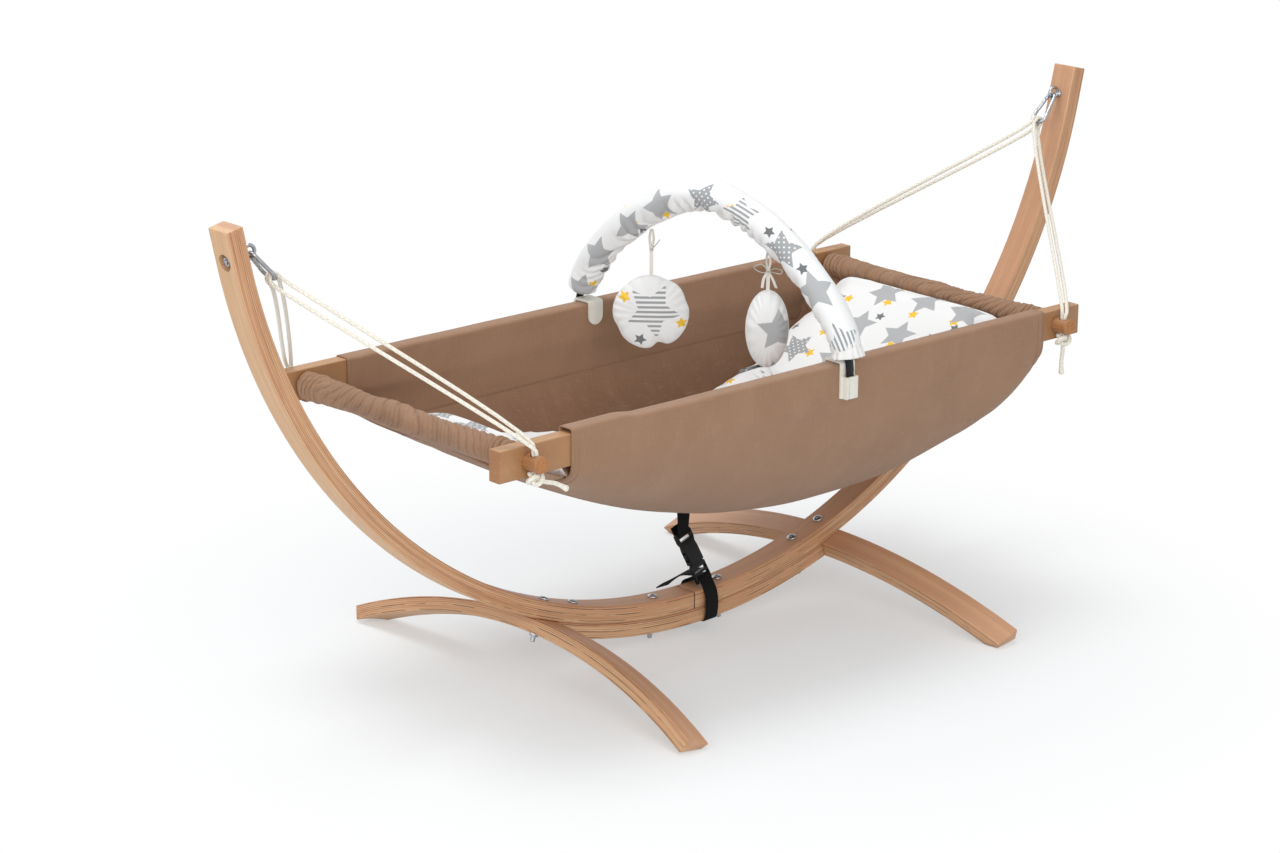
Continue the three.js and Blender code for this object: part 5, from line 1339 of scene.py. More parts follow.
def belly_turn(y, z):
    """Bearing of a point of the section, seen from the middle between the rails' top edges."""
    return np.arctan2(z - SLING_TOP, y)


def belly_out(y, z):
    """Outward direction at a point of the section, as of an ellipse."""
    return unit(np.stack([0 * y, y / SLING_WIDE ** 2, (z - SLING_TOP) / SLING_DEPTH ** 2], -1))


def belly_wall(z):
    """Share of the straight wall beside the rails in the section, 0 below and 1 above."""
    return smooth((z - 322) / 22)


def girth(y, z):
    """Length round each section up to each of its points."""
    run = np.cumsum(np.hypot(np.diff(y, axis=1), np.diff(z, axis=1)), 1)
    return np.concatenate([np.zeros((len(y), 1)), run], 1)


def belly_section(x, steps, inset, upper):
    """Section of the sling at each x: the outside of a hanging curve, |y/half|^p + |z/depth|^p = 1, led straight
    up outside the rails. Its turn runs from the front rail to the back one, up to the given height."""
    depth, power = (v[:, None] for v in sling_depth(x))
    top = mm(sling().rail_top)
    limit = np.arccos(np.clip((top - upper) / (depth - inset), 0, 1) ** (power / 2))
    turn = np.linspace(-1, 1, steps)[None] * limit
    y = (SLING_HALF - inset) * np.sign(turn) * np.abs(np.sin(turn)) ** (2 / power)
    z = top - (depth - inset) * np.cos(turn) ** (2 / power)
    wall = belly_wall(z)
    return np.sign(turn) * (np.abs(y) * (1 - wall) + (SLING_HALF - inset) * wall), z


def belly_side(x, z, inset):
    """Distance of the section from the middle at each height."""
    depth, power = sling_depth(x)
    part = np.clip((mm(sling().rail_top) - z) / (depth - inset), 0, 1)
    wall = belly_wall(z)
    return (SLING_HALF - inset) * ((1 - part ** power) ** (1 / power) * (1 - wall) + wall)


class CRADLE_OT_sling(Operator):
    """Hanging cloth with a tunnel over each rail, hemmed ends, and a strip that runs on to each gathered sleeve"""
    bl_idname = "cradle.sling"
    bl_label = "Sling"

    def execute(self, context):
        cloth = mm(sling().cloth)
        inset = 1.2
        x = np.linspace(*SLING_X, 190)
        rim, bend, face = 380.5, 3, 190.5
        y, z = belly_section(x, 151, inset, rim)
        ones = np.ones((len(x), 1))
        turn = np.linspace(0, math.pi / 2, 5)[1:]
        crest_y = np.concatenate([208.5 + bend * np.cos(turn), np.linspace(204, 198, 3),
                                  face + bend - bend * np.sin(turn), [face] * 5])
        crest_z = np.concatenate([rim + bend * np.sin(turn), [rim + bend] * 3,
                                  rim + bend * np.cos(turn), np.linspace(374, 348, 5)])
        drop = np.linspace(0, 1, 15)[None, 1:]
        flap_z = 345 - drop * np.minimum(50, (sling_depth(x)[0] - 38) * 0.6)[:, None]
        near = 1.6 - 1.57 * smooth((drop - 0.72) / 0.28)
        flap_y = face + (belly_side(x[:, None], flap_z, inset) - near - face) * smooth(drop * 1.06)
        crest_y = np.concatenate([ones * crest_y, flap_y], 1)
        crest_z = np.concatenate([ones * crest_z, flap_z], 1)
        droop = quilt(x[:, None] / 34, 0 * ones, 3) * 0.5
        crest_z = crest_z + droop * (crest_z > 379)
        proud = 4.2 * (1 - smooth((x[:, None] + 302) / 36)) * (crest_z > 379)
        y = np.concatenate([-crest_y[:, ::-1], y, crest_y], 1)
        z = np.concatenate([(crest_z + proud)[:, ::-1], z, crest_z], 1)
        s = girth(y, z)
        x2 = np.broadcast_to(x[:, None], y.shape)
        around = belly_turn(y, z)
        free = 1 - smooth((z - 316) / 26)
        near_end = sum(bell(x2, end, END_REACH) for end in SLING_X)
        sag = (quilt(x2 / 62, around * 2.2, 5) * 1.5 + quilt(x2 / 26, around * 5, 8) * 0.55) * (0.5 + 0.7 * near_end)
        pull = 1.6 * np.sin(around * 34 + quilt(x2 / 50, around * 3, 2)) * near_end * smooth((-around - 0.5) * 4) \
            * smooth((around + 2.64) * 4)
        clip = sum(bell(x2, at, 26) * bell(z, 352, 26) * (y * foot_y > 200) for at, foot_y in ((58, -1), (17, 1)))
        push = ((sag + pull) * free + clip * np.sin(x2 / 5.5) * 0.5)[..., None]
        points = np.stack([x2, y, z], -1) + belly_out(y, z) * push
        place = np.stack([x2, s, 0 * s], -1) * MM
        body = canvas_sheet("sling_cloth", facing(Patch(points, place), -Z), cloth)
        # Faces that look into the sling below the rails take the inside finish with its painted shade.
        lined(body, lambda c, n: (np.abs(c[:, 1]) < 208) & (n[:, 1] * np.sign(c[:, 1]) < -0.3) & (c[:, 2] < 378))
        place_on(body, "cradle", "sling_fabric", "sling")
        wide, deep = float(s.max()) * MM, (SLING_X[1] - SLING_X[0]) * MM
        min(spread(points), wide * deep * 1.01)
        for row, (label, side) in zip((0, -1), SIDES):
            order = np.argsort(around[row])
            pushed = lambda y, z: np.interp(belly_turn(y, z), around[row][order], push[row, :, 0][order])
            self.hem(label, SLING_X[row], side, inset, cloth, pushed)
            self.strip(label, side, cloth)
        return {"FINISHED"}

    @classmethod
    def hem(cls, label, start, side, inset, cloth, pushed):
        """Turned-in edge of the cloth with two rows of stitches, pushed in and out with the cloth over it."""
        x = start - side * np.linspace(0, 14, 8)
        y, z = belly_section(x, 151, inset + cloth * 0.8, 343)
        x2, s = np.broadcast_to(x[:, None], y.shape), girth(y, z)
        points = np.stack([x2, y, z], -1) + belly_out(y, z) * pushed(y, z)[..., None]
        edge = Patch(points, np.stack([x2, s, 0 * s], -1) * MM)
        place_on(canvas_sheet(f"sling_hem_{label}", facing(edge, -Z), cloth * 0.6), "cradle", "sling_fabric")
        rows = []
        for gap in (3.0, 11.0):
            y, z = belly_section(np.full(1, start - side * gap), 400, inset - cloth * 0.5, 376)
            out = belly_out(y, z)
            line = (np.stack([np.full(y.shape, start - side * gap), y, z], -1)
                    + out * (pushed(y, z) + 0.1)[..., None])[0]
            rise = 0.18 * np.sin(distance(line) * (2 * math.pi / 3.2))
            rows.append(tube(line + out[0] * rise[:, None], 0.34, X, 6))
        stitches = solid(f"sling_stitching_{label}", rows, [material("thread_taupe", cls.thread)])
        place_on(stitches, "cradle", "sling_fabric")

    @staticmethod
    def thread(f):
        """Twisted sewing thread."""
        along, turn, _ = f.place()
        ply = abs((along * 1600 + turn * 2).fraction() - 0.5)
        return f.done(f.mix(ply * 1.4, tint("#a07e66"), tint("#7d5f4b")), 0.8, f.bump(ply, 0.5, 0.1))

    @staticmethod
    def strip(label, side, cloth):
        """Cloth from the hem to the sleeve: the sling's own height, with folds that grow towards the sleeve as
        |sin| ridges along the cradle."""
        start = (SLING_X[0] + 8 if side < 0 else SLING_X[1] - 8)
        part = np.linspace(0, 1, 34)[:, None]
        y = np.linspace(-198, 198, 276)[None]
        x = start + (side * (DOWEL_X + 1) - start) * part
        x2, y2 = np.broadcast_arrays(x, y)
        z = sling_height(x2, y2, CLOTH_SPACE) + cloth * 0.4 + 1.5 * smooth(1 - part * 6)
        warp = quilt(y2 / 18, x2 / 90, 11 + side) * 0.5
        ridge = np.abs(np.sin(math.pi * (y2 / 11.5 + warp))) - 0.5
        tight = 1 + 0.8 * smooth((np.abs(y2) - 120) / 50)
        z = z + smooth(part * 1.4 - 0.15) * ridge * 2.0 * tight + quilt(x2 / 30, y2 / 40, 21) * 0.7 * part
        z = z + (352.6 + ridge * 0.5 - z) * smooth((part - 0.62) / 0.38)
        z = z - np.maximum(z - 342.4, 0) * smooth((np.abs(y2) - 183) / 6)
        points = np.stack([x2, y2, z], -1)
        # The place's third part is the depth of the folds' creases, where the canvas paints shade.
        place = np.stack([x2, y2 * 1.15, 3.4 * (0.5 - ridge) * smooth(part * 1.4 - 0.15)], -1) * MM
        sheet = canvas_sheet(f"sling_strip_{label}", facing(Patch(points, place), -Z), cloth)
        place_on(sheet, "cradle", "sling_fabric")
        spread(points) / 0.40


class CRADLE_OT_sleeves(Operator):
    """Cloth drawn up on the two dowels in tight folds near the rails and slanted ones between"""
    bl_idname = "cradle.sleeves"
    bl_label = "Gathered sleeves"

    def execute(self, context):
        count = sling().gathers
        half = 189.5
        for label, side in SIDES:
            y = np.linspace(-half, half, 520)[:, None]
            phi = circle(72)[None]
            y2, p2 = np.broadcast_arrays(y, phi)
            end = smooth((np.abs(y2) - 142) / 22)
            warp = quilt(y2 / 70, np.cos(p2) * 0.5, 31 + side, fastest=2.4)
            slant = 0.75 * np.sin(p2 + 0.8 * side + y2 / 90) + 0.22 * np.sin(2 * p2 + y2 / 45)
            tight = np.abs(np.sin(math.pi * (y2 * count / 350 + warp * 0.5 + slant * 0.5)))
            loose = np.abs(np.sin(math.pi * (y2 / 19 + warp * 1.2 + slant)))
            fine = np.abs(np.sin(math.pi * (y2 / 6.1 + warp * 2.4 + slant * 1.7)))
            low = 0.72 + 0.28 * quilt(y2 / 24, np.cos(p2) * 1.1, 47 + side)
            ridge = end * (tight ** 0.6 * 0.8 + fine * 0.2) \
                + (1 - end) * (0.12 + 0.7 * loose ** 0.65 * low + fine * 0.26)
            ridge = np.clip(ridge, 0, 1.05)
            radius = 10.9 + (3.7 - 0.4 * side + 1.6 * end) * ridge + 0.5 * quilt(y2 / 30, p2 * 0 + 1, 41) \
                + 0.8 * end * quilt(y2 / 9, np.cos(p2) * 2.0, 43 + side)
            rim = smooth((half - np.abs(y2)) / 5)
            radius = radius * (0.86 + 0.14 * rim)
            points = np.stack([side * DOWEL_X + radius * np.cos(p2), y2, DOWEL_Z + radius * np.sin(p2)], -1)
            around = np.linspace(0, 2 * math.pi * 13.5, 73)[None]
            # The crease depth goes into the place's third part, where the canvas paints shade into the creases.
            fold = 4.6 * (1 - ridge)
            fold = np.concatenate([fold, fold[:, :1]], 1)
            place = np.stack(np.broadcast_arrays(around, y * 1.5, fold), -1) * MM
            centre = np.array([side * DOWEL_X, points[260, 36][1], DOWEL_Z])
            outer = facing(Patch(points, place, wrap_columns=True), points[260, 36] - centre)
            sleeve = canvas_sheet(f"sleeve_cloth_{label}", outer, 0.9)
            place_on(sleeve, "cradle", "sling_fabric", f"sleeve_{label}")
            area = spread(np.concatenate([points, points[:, :1]], 1))
        return {"FINISHED"}


# ---------------------------------------------------------------- bedding

def inflate(piece, voxel, pressure, cap, floor, ceiling=None):
    """Blows a closed piece up as cloth: remeshed in small voxels, run for some frames under pressure with no
    gravity, each point held within the cap of where it began, and kept between two heights."""
    frames = 20
    remesh = piece.modifiers.new("remesh", "REMESH")
    remesh.mode, remesh.voxel_size = "VOXEL", voxel * MM
    settle(piece)
    count = len(piece.data.vertices)
    start = np.empty(count * 3)
    piece.data.vertices.foreach_get("co", start)
    start = start.reshape(-1, 3)
    moved = start.copy()
    scene = bpy.context.scene
    cloth = piece.modifiers.new("cloth", "CLOTH")
    cloth.settings.use_pressure = True
    cloth.settings.uniform_pressure_force = pressure
    cloth.settings.effector_weights.gravity = 0.0
    cloth.settings.quality = 5
    cloth.point_cache.frame_start, cloth.point_cache.frame_end = 1, frames
    for frame_number in range(1, frames + 1):
        scene.frame_set(frame_number)
    shape = piece.evaluated_get(bpy.context.evaluated_depsgraph_get()).data
    blown = np.empty(count * 3)
    shape.vertices.foreach_get("co", blown)
    piece.modifiers.clear()
    scene.frame_set(1)
    step = blown.reshape(-1, 3) - start
    far = np.linalg.norm(step, axis=1, keepdims=True)
    moved = start + step * np.minimum(1, cap * MM / np.maximum(far, 1e-9))
    x, y = moved[:, 0] / MM, moved[:, 1] / MM
    moved[:, 2] = np.maximum(moved[:, 2], floor(x, y) * MM)
    if ceiling is not None:
        moved[:, 2] = np.minimum(moved[:, 2], ceiling(x, y) * MM)
    piece.data.vertices.foreach_set("co", moved.ravel())
    piece.data.update()
    fine = piece.modifiers.new("fine", "SUBSURF")
    fine.levels = fine.render_levels = 1
    settle(piece)
    piece.data.shade_smooth()
    return piece


def shell(x0, x1, half, low, high, rows, columns, plan):
    """Closed cushion between two heights over a plan, one loop of points across for each place along. The plan
    gives the share of the half width at each place."""
    part = np.sin(math.pi / 2 * np.linspace(-1, 1, rows))[:, None]
    over = np.sin(math.pi / 2 * np.linspace(-1, 1, columns))[None]
    x = (x0 + x1) / 2 + (x1 - x0) / 2 * part
    x2, y2, part, over = np.broadcast_arrays(x, half * over * plan(x), part, over)
    upper = np.stack([x2, y2, high(x2, y2, part, over)], -1)
    lower = np.stack([x2, y2, low(x2, y2, part, over)], -1)[:, ::-1]
    return Patch(np.concatenate([upper, lower], 1), wrap_columns=True, caps=True)


class CRADLE_OT_bedding(Operator):
    """Mattress that lies in the sling, and the pillow on its head end, both blown up as cloth"""
    bl_idname = "cradle.bedding"
    bl_label = "Mattress and pillow"

    def execute(self, context):
        s = bedding()

        def lift(x, y):
            return sum((3.5 * bell(x, end, END_REACH) for end in SLING_X), sling_height(x, y, CLOTH_SPACE))

        def foot_rise(x, y):
            return 30 * bell(x, -390, 50) * (1 - 0.75 * smooth((y - 25) / 80))

        def foot_plan(x):
            return (1 - 0.05 * smooth((60 - x) / 120)) * np.sqrt(1 - np.clip((-250 - x) / 172, 0, 1) ** 2)

        def bed_high(x, y, part, over):
            low = lift(x, y) + 0.6
            return low + 4 + (mattress_top(x, y) + foot_rise(x, y) - 3 - low) * (1 - np.abs(part) ** 10) ** 0.5

        bed = shell(-402, 414, mm(s.mattress_width) - 2, lambda x, y, part, over: lift(x, y) + 1.2, bed_high,
                    110, 54, foot_plan)
        mattress = solid("mattress_cloth", [bed], [print_flat("cotton_stars_bed", 0.023)])
        under_pillow = lambda x, y: (mattress_top(x, y) + foot_rise(x, y) + 3.2
                                     - 2.8 * smooth((x - 226) / 10) * smooth((414 - x) / 4))
        inflate(mattress, 6, 4, 5, lambda x, y: lift(x, y) + 0.35, under_pillow)
        place_on(mattress, "cradle", "printed_cotton", "mattress")

        rise = mm(s.pillow_thickness)

        def pillow_high(x, y, part, over):
            swell = ((1 - np.abs(part) ** np.where(part > 0, 14, 3)) * (1 - np.abs(over) ** 7)) ** 0.5
            crown = np.minimum(mattress_top(x, 0 * y) + 5.5 + rise + 19 * smooth((x - 250) / 150), 372)
            crown = np.maximum(crown, 240 + 0.66 * (x - 210))
            low = mattress_top(x, y) + 2.2
            return low + np.maximum(crown - low, 0) * swell

        cushion = shell(234, 423, mm(s.pillow_width), lambda x, y, part, over: mattress_top(x, y) + 1.2,
                        pillow_high, 60, 60, lambda x: 1 - 0.09 * smooth((x - 330) / 80))
        pillow = solid("pillow_cloth", [cushion], [print_flat("cotton_stars_flat", 0.0)])
        inflate(pillow, 5, 4, 6, lambda x, y: mattress_top(x, y) + 0.9)
        place_on(pillow, "cradle", "printed_cotton", "pillow")
        return {"FINISHED"}


# ---------------------------------------------------------------- toy bar

POCKET_Y = 219.25
BAR_FEET = ((58.0, -POCKET_Y), (17.0, POCKET_Y))
COVER_START = 394 - 376
TOY_TURN = math.radians(-43)


def bar_place(turn):
    """Middle line of the toy bar: a superellipse between its clips, with its outward and sideways directions."""
    turn = np.asarray(turn, float)
    s = toybar()
    (ax, ay), (bx, by) = BAR_FEET
    middle = np.array([(ax + bx) / 2, 0, 0])
    span = np.array([bx - ax, by - ay, 0])
    along = unit(span)

    def at(t):
        t = np.clip(t, 0, math.pi)[..., None]
        wide = -np.linalg.norm(span) / 2 * np.sign(np.cos(t)) * np.abs(np.cos(t)) ** 1.25
        high = mm(s.spring) + (mm(s.top) - mm(s.spring)) * np.abs(np.sin(t)) ** 1.25
        return middle + along * wide + Z * high

    normal = np.cross(along, Z)
    tangent = unit(at(turn + 0.01) - at(turn - 0.01))
    return at(turn), unit(np.cross(normal, tangent)), np.broadcast_to(normal, tangent.shape)


def even_turns(start, end, count):
    """Turns between start and end that lie evenly along the toy bar."""
    turn = np.linspace(start, end, 2000)
    run = distance(bar_place(turn)[0])
    return np.interp(np.linspace(0, run[-1], count), run, turn), run[-1]


class CRADLE_OT_toybar(Operator):
    """Bent batten in a padded star cover with creases on its inner side, a cuff at its front end, and its two clips
    """
    bl_idname = "cradle.toybar"
    bl_label = "Toy bar"

    def execute(self, context):
        s = toybar()
        radius, crease = mm(s.radius), mm(s.crease)
        start = math.asin((COVER_START / (mm(s.top) - mm(s.spring))) ** 0.8)
        turn, run = even_turns(start, math.pi - start, 320)
        centre, out, across = bar_place(turn)
        t = np.linspace(0, run, len(turn))[:, None]
        phi = circle(84)[None]
        t2, p2 = np.broadcast_arrays(t, phi)
        inner = smooth((0.25 - np.cos(p2)) / 1.1)
        bend = bell(t2 / run, 0.5, 0.3)
        warp = quilt(t2 / 40, np.sin(p2) * 1.2, 51)
        fold = np.abs(np.sin(math.pi * (t2 / 22 + warp * 0.7 + np.sin(p2) * 0.35)))
        small = np.abs(np.sin(math.pi * (t2 / 7 + warp + np.sin(p2) * 0.8)))
        soft = quilt(t2 / 28, np.cos(p2) * 1.5, 57)
        size = radius - 1.2 + 0.9 * soft - inner * (0.35 + 0.65 * bend) * crease * (1 - fold) \
            - inner * 0.6 * (1 - small)
        ends = np.minimum(t2, run - t2)
        size = size * (0.55 + 0.45 * smooth(ends / 9) ** 0.5) * (1 - 0.06 * (1 - smooth(ends / 26)))
        points = centre[:, None] + size[..., None] * (np.cos(p2)[..., None] * out[:, None]
                                                      + np.sin(p2)[..., None] * across[:, None])
        around = (circle(84, closed=True)[None] - math.pi) * radius - 17 * (1 - 2 * t / run)
        place = np.stack(np.broadcast_arrays(t, around, 0.0), -1) * MM
        cover = solid("toy_bar_padding", [Patch(points, place, wrap_columns=True, caps=True)], [print_on_bar()])
        place_on(cover, "toy_bar", "printed_cotton", "toy_bar_cover")
        steps = np.linspace(0, 1, 16)[:, None]
        q = circle(110)[None]
        tangent = unit(unit(centre[3] - centre[0]) + 0.16 * out[0])
        beside = unit(out[0] - tangent * (out[0] @ tangent))
        flare = 16.6 + 3.0 * smooth(1 - steps) + 0.9 * np.sin(q * 13 + 2 * np.sin(q * 3)) * (1 - steps * 0.6)
        cuff = (centre[0] - tangent * 2.0 + tangent * (steps * 17)[..., None]
                + flare[..., None] * (np.cos(q)[..., None] * beside + np.sin(q)[..., None] * across[0]))
        place = np.stack(np.broadcast_arrays(steps * 17, np.linspace(0, 130, 111)[None], 0.0), -1) * MM
        band = thicken(solid("toy_bar_cuff", [Patch(cuff, place, wrap_columns=True)],
                             [material("cotton_hem", self.hem)]), 0.8)
        place_on(band, "toy_bar", "printed_cotton")
        batten = softened("toy_bar_strip", "toy_bar_batten", 0.4, black_plastic(), crease=40)
        place_on(batten, "toy_bar", "black_plastic", "toy_bar_batten")
        for name in ("front", "back"):
            clip = softened(f"clip_{name}", f"toy_bar_clip_{name}", 0.7, white_plastic(), 3, crease=25)
            place_on(clip, "toy_bar", "white_plastic", f"toy_bar_clip_{name}")
        return {"FINISHED"}

    @staticmethod
    def hem(f):
        """White cotton hem with one row of stitches."""
        a, b, _ = f.place()
        weave = woven(a, b, PRINT_WEAVE)
        soft = f.grain(a * 60, b * 60, 0.0, 3)
        stitch = (1 - abs((a - 0.0125) / 0.0005).least(1.0)) * ((b * 420).fraction() > 0.35)
        tone = f.coats(tint("#f0efec"), (soft.between(0.3, 0.7) * 0.4, "#dcdcda"), (stitch * 0.7, "#b9b9b7"))
        return f.done(tone, 0.85, f.bump(weave - stitch, 0.3, 0.3))


def toy_frame():
    u = np.array([math.cos(TOY_TURN), math.sin(TOY_TURN), 0.0])
    return u, np.cross(u, Z)


def pad(centre, edge, thickness, shift, puckers, seed):
    """Stuffed pad: rings shrink from the seam to the middle, the swell is (1 - r^2.6)^0.6 of half the thickness,
    and small ridges fan in from the seam. Its place is the flat pattern, moved by the shift."""
    u, w = toy_frame()
    theta = circle(150)[None]
    pucker = np.sin(theta * puckers + 2 * np.sin(theta * 3 + seed))
    lobe = 1 + 0.012 * pucker
    ring = np.sin(np.linspace(0.03, math.pi / 2, 26))[:, None]
    flat = edge(theta)
    swell = (1 - np.clip(ring, 0, 0.9995) ** 2.6) ** 0.6
    ridges = 1 + 0.11 * pucker * ring ** 5
    dent = 1 + 0.05 * quilt(flat[0] * ring / 16, flat[1] * ring / 16, seed)
    faces = []
    for face in (1, -1):
        a, b = flat[0] * ring * lobe, flat[1] * ring * lobe
        lift = face * (thickness / 2 * swell * ridges * dent + 0.5)
        points = centre + a[..., None] * u + b[..., None] * Z + lift[..., None] * w
        places = np.stack([a + shift[0], b + shift[1], 0 * a], -1) * MM
        faces.append((points, places))
    front, back = faces
    points = np.concatenate([front[0], back[0][::-1]])
    places = np.concatenate([front[1], back[1][::-1]])
    return Patch(points, places, wrap_columns=True, caps=True), flat


class CRADLE_OT_toys(Operator):
    """Two stuffed cotton toys on tapes: a lobed round one, and an oval one with a tied bow"""
    bl_idname = "cradle.toys"
    bl_label = "Hanging toys"

    def execute(self, context):
        s = toybar()
        u, w = toy_frame()
        tape = material("tape_cotton", self.tape)

        def lobed(theta):
            share_left = 1
            for dent, at, wide in ((0.17, 4.95, 0.2), (0.05, 3.6, 0.22), (0.04, 0.35, 0.2), (0.04, 1.2, 0.2),
                                   (0.03, 2.3, 0.2)):
                share_left = share_left - dent * bell(theta, at, wide)
            r = mm(s.round_radius) * share_left
            return r * np.cos(theta), r * np.sin(theta)

        def oval(theta):
            return mm(s.oval_width) * np.cos(theta), mm(s.oval_height) * np.sin(theta)

        toys = (("round_toy", np.array([28.4, 97.3, 388.6]), lobed, 25, (0.0, 0.0), 23, 4, 494.8),
                ("oval_toy", np.array([45.9, -90.3, 402.8]), oval, 34, (70.0, 30.0), 19, 6, 499.0))
        for name, centre, edge, thick, shift, puckers, seed, top in toys:
            patch, flat = pad(centre, edge, thick, shift, puckers, seed)
            toy = solid(f"{name}_cloth", [patch], [print_on_toy() if name == "round_toy" else print_on_cloth()])
            place_on(toy, name, "printed_cotton", name)
            theta = circle(260)
            rim = 1.006 * np.stack(edge(theta), -1)
            path = centre + rim[:, :1] * u + rim[:, 1:] * Z
            path = path + (0.35 * np.sin(theta * puckers))[:, None] * w
            hem = material("cotton_hem", CRADLE_OT_toybar.hem)
            place_on(solid(f"{name}_seam", [tube(path, 0.75, w, 8, loop=True)], [hem]), name, "printed_cotton")
            head = centre + Z * (flat[1].max() - 0.6)
            peak = centre * [1, 1, 0] + Z * (top - 0.6)
            gap = peak[2] - head[2]
            knot = head + Z * gap * (0.58 if name == "round_toy" else 0.5)
            tie = solid(f"{name}_tape", self.tie(head, knot, peak, name == "oval_toy"), [tape])
            place_on(tie, name, "cotton_cord", f"{name}_ribbon")
        return {"FINISHED"}

    @staticmethod
    def tie(head, knot, peak, bow):
        """Doubled tape from the toy to the bar, a knot of two turns, and a bow or one loose end."""
        u, w = toy_frame()
        off = lambda a, rise, t: knot + u * a + Z * rise + w * t
        bands = []
        for way in (-1, 1):
            strand = route([peak + u * way * 0.8, (peak + knot) / 2 + u * way * 2.4 + w * way,
                            knot + u * way * 0.3], 8)
            bands.append(ribbon(strand, w * 0.8 + u * 0.6 * way, 4.2, 0.7))
            strand = route([knot, (head + knot) / 2 + w * way * 0.7, head - Z * 0.5 + w * way * 0.2], 6)
            bands.append(ribbon(strand, u, 4.4, 0.7))
        around = circle(24)
        for tilt in (-0.5, 0.5):
            ring = knot + 2.2 * (np.cos(around)[:, None] * u + np.sin(around)[:, None] * w) \
                + (tilt * np.cos(around))[:, None] * Z * 2
            bands.append(ribbon(ring, Z, 3.4, 0.7, loop=True))
        if not bow:
            return [*bands, ribbon(route([knot, off(5, 5, 1), off(10, 12, 1.5)], 7), w, 3.2, 0.6)]
        for way, high, low, reach in ((-1, 9, 3, 7), (1, 4, -2, 10)):
            loop = [knot, off(way * 8, high, 1), off(way * 17, high - 3, 2), off(way * 15, low, 3),
                    off(way * 7, -1, 2), off(0, 0, 1)]
            bands.append(ribbon(route(loop, 7), w + Z * 0.5, 3.8, 0.7))
            end = [knot, off(way * 5, -8, 2), off(way * reach, -20, 2.4)]
            bands.append(ribbon(route(end, 7), u + w * 0.5, 3.8, 0.7))
        return bands

    @staticmethod
    def tape(f):
        """Plain tape: fine ribs across and picks along."""
        along, across, _ = f.place()
        rib, pick = across.wave(TAPE_RIB), along.wave(TAPE_PICK)
        tone = f.mix(rib * 0.35 + pick * 0.2, tint("#f1eee6"), tint("#dad6cb"))
        return f.done(tone, 0.8, f.bump(rib + pick * 0.6, 0.4, 0.15))


# ---------------------------------------------------------------- strap and buckle

def eased(corners, reach, loop=False, steps=6):
    """Polygon with its corners rounded by quadratic curves that start and end the reach away from each."""
    p = np.array(corners, float)
    before, after = np.roll(p, 1, axis=0), np.roll(p, -1, axis=0)
    if not loop:
        before[0], after[-1] = p[0], p[-1]
    pull = lambda q: np.minimum(reach, np.linalg.norm(q - p, axis=1, keepdims=True) * 0.45) * unit(q - p)
    a, b = p + pull(before), p + pull(after)
    t = np.linspace(0, 1, steps)[None, :, None]
    curve = a[:, None] * (1 - t) ** 2 + 2 * p[:, None] * t * (1 - t) + b[:, None] * t ** 2
    return curve.reshape(-1, 3) if loop else np.concatenate([p[:1], curve[1:-1].reshape(-1, 3), p[-1:]])


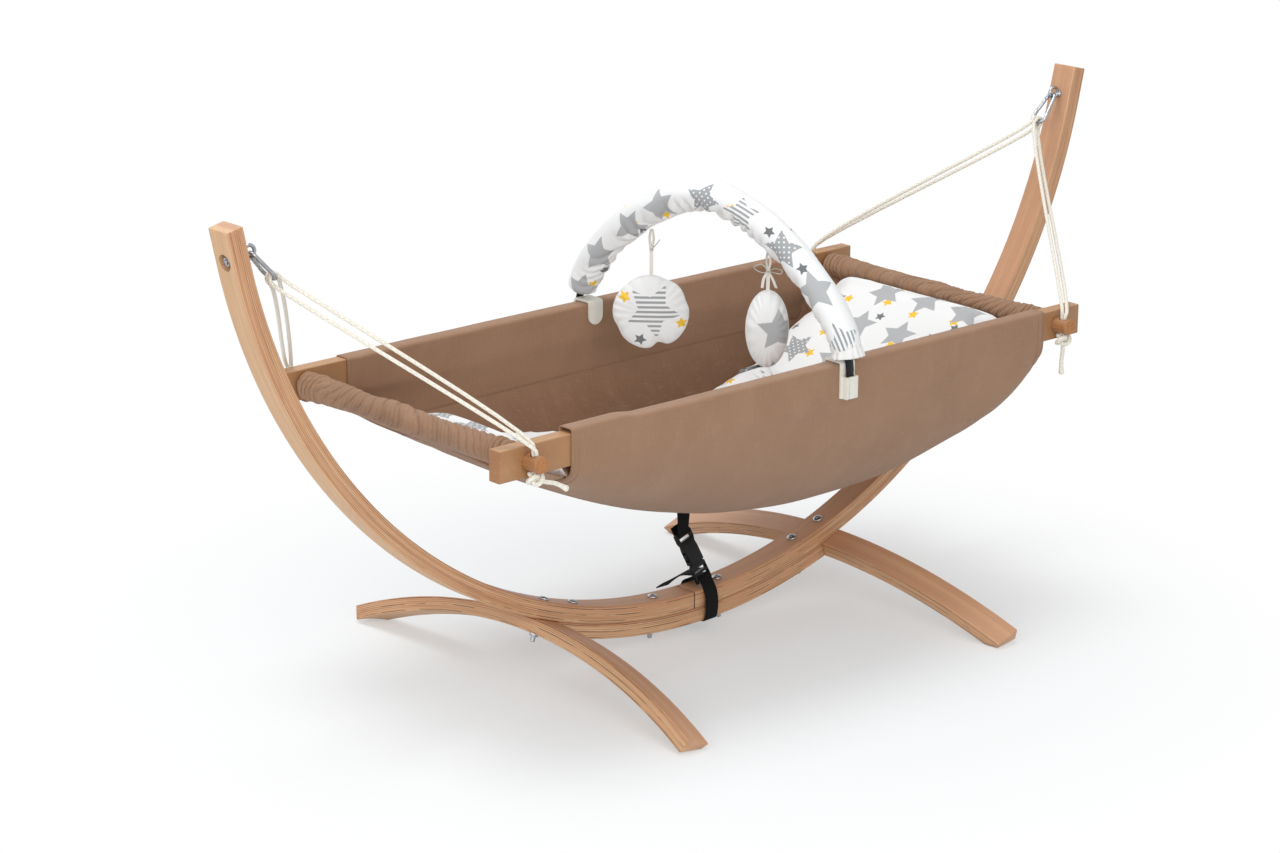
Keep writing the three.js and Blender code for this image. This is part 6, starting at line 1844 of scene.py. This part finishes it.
class CRADLE_OT_strap(Operator):
    """Webbing loop round the bow, side-release buckle, and webbing up to the sling"""
    bl_idname = "cradle.strap"
    bl_label = "Strap and buckle"

    def execute(self, context):
        s = strap()
        web, thick = mm(s.width), mm(s.thickness)
        spot, inside = 2, 706 - 22
        turn = math.radians(spot)
        up, along = -outward(turn, 1), onward(turn, 1)
        rod = bow_point(spot, 1, inside - 11) * [1, 0, 1] - Y * 8
        lean = unit(np.array([-0.271, 0.331, 0.904]))
        across = unit(X - lean * lean[0])
        back = np.cross(lean, across)
        at = lambda a, rise, t=0.0: rod + across * a + lean * rise + back * t
        base = bow_point(spot, 1, inside) * [1, 0, 1]
        on_loop = lambda y, rise: base + up * rise + Y * y
        reach, low = 18 + SEAT + 0.8, -(22 + SEAT + 18.5 + SEAT + 0.8)
        bend, edge = 1.6 + 0.9 + 0.8, 0.8 + 0.6
        flank = ((0, low), (3.2, low + 7), (5.4, low / 2), (3.8, -5), (-1, edge + 2.4))
        corners = [*[on_loop(-(reach + y), rise) for y, rise in flank],
                   at(0, bend * 0.3, -bend), at(0, bend, -bend * 0.4), at(0, bend, bend * 0.4),
                   *[on_loop(reach + y, rise) for y, rise in flank[::-1]]]
        widths = np.stack([along] * 5 + [across] * 3 + [along] * 5)
        steps = 6
        path = eased(corners, 7, loop=True, steps=steps)
        loop = solid("strap_band", [ribbon(path, np.repeat(widths, steps, 0), web, thick, loop=True)], [black_web()])
        place_on(loop, "stand", "black_webbing", "strap_loop")

        face = 3.5 + SEAT + 0.8
        under = 61 - SEAT - 0.8
        top = np.array([5.0, 10.0, float(sling_height(5.0, 10.0)) - 3.6])
        corners = [at(0, 66 + 9, face - 0.6), at(0, under, face), at(0, under, -face), at(0, 67.6, -face),
                   (at(0, 67.6, -face) + top) / 2 - Y * 1.0, top]
        path = eased(corners, 2.4, steps=6)
        side = np.stack([across] * (len(path) - 9) + [unit(across * (1 - k) + X * k) for k in np.linspace(0.1, 1, 9)])
        patch_top = solid("strap_webbing", [ribbon(path, side, web, thick)], [black_web()])
        place_on(patch_top, "strap", "black_webbing", "strap_upper")

        start = at(0, 9, 2.75 + SEAT)
        tail = route([start, (19, 18, 70), (14, 34, 59), (13, 44, 52), (10, 52, 44.6)], 7)
        side = unit(across + (X - across) * np.linspace(0, 1, len(tail))[:, None])
        end = solid("strap_loose_end", [ribbon(tail, side, web, thick)], [black_web()])
        place_on(end, "strap", "black_webbing", "strap_tail")
        for name, body in (("buckle_plug", "strap"), ("buckle_socket", "strap"),
                           ("release_arm_left", "release_arm_left"), ("release_arm_right", "release_arm_right")):
            part = softened(f"{name}_moulded", name, 0.5, black_plastic(), 2, crease=35)
            place_on(part, body, "black_plastic", name)
        return {"FINISHED"}


# ---------------------------------------------------------------- panel and run

OPERATORS = (CRADLE_OT_stage, CRADLE_OT_bow, CRADLE_OT_feet, CRADLE_OT_fittings, CRADLE_OT_hooks, CRADLE_OT_rails,
             CRADLE_OT_cords, CRADLE_OT_sling, CRADLE_OT_sleeves, CRADLE_OT_bedding, CRADLE_OT_toybar,
             CRADLE_OT_toys, CRADLE_OT_strap)
GROUPS = (("cradle_stand", CradleStand), ("cradle_sling", CradleSling), ("cradle_bedding", CradleBedding),
          ("cradle_bar", CradleBar), ("cradle_strap", CradleStrap))


class CRADLE_PT_panel(Panel):
    """Pieces of the cradle and the sizes and colours that they are made from"""
    bl_idname = "CRADLE_PT_panel"
    bl_label = "Hanging Baby Cradle"
    bl_space_type = "VIEW_3D"
    bl_region_type = "UI"
    bl_category = "Cradle"

    def draw(self, context):
        for name, group in GROUPS:
            box = self.layout.box()
            box.label(text=group.__doc__)
            for key in group.__annotations__:
                box.prop(getattr(context.scene, name), key)
        for kind in OPERATORS:
            self.layout.operator(kind.bl_idname)


def register():
    for kind in (*(group for _, group in GROUPS), *OPERATORS, CRADLE_PT_panel):
        bpy.utils.register_class(kind)
    for name, group in GROUPS:
        setattr(bpy.types.Scene, name, PointerProperty(type=group))


def unregister():
    for name, _ in GROUPS:
        delattr(bpy.types.Scene, name)
    for kind in (CRADLE_PT_panel, *OPERATORS[::-1], *(group for _, group in GROUPS)):
        bpy.utils.unregister_class(kind)


def main():
    register()
    for kind in OPERATORS:
        getattr(bpy.ops.cradle, kind.bl_idname.split(".")[1])()


if __name__ == "__main__":
    main()
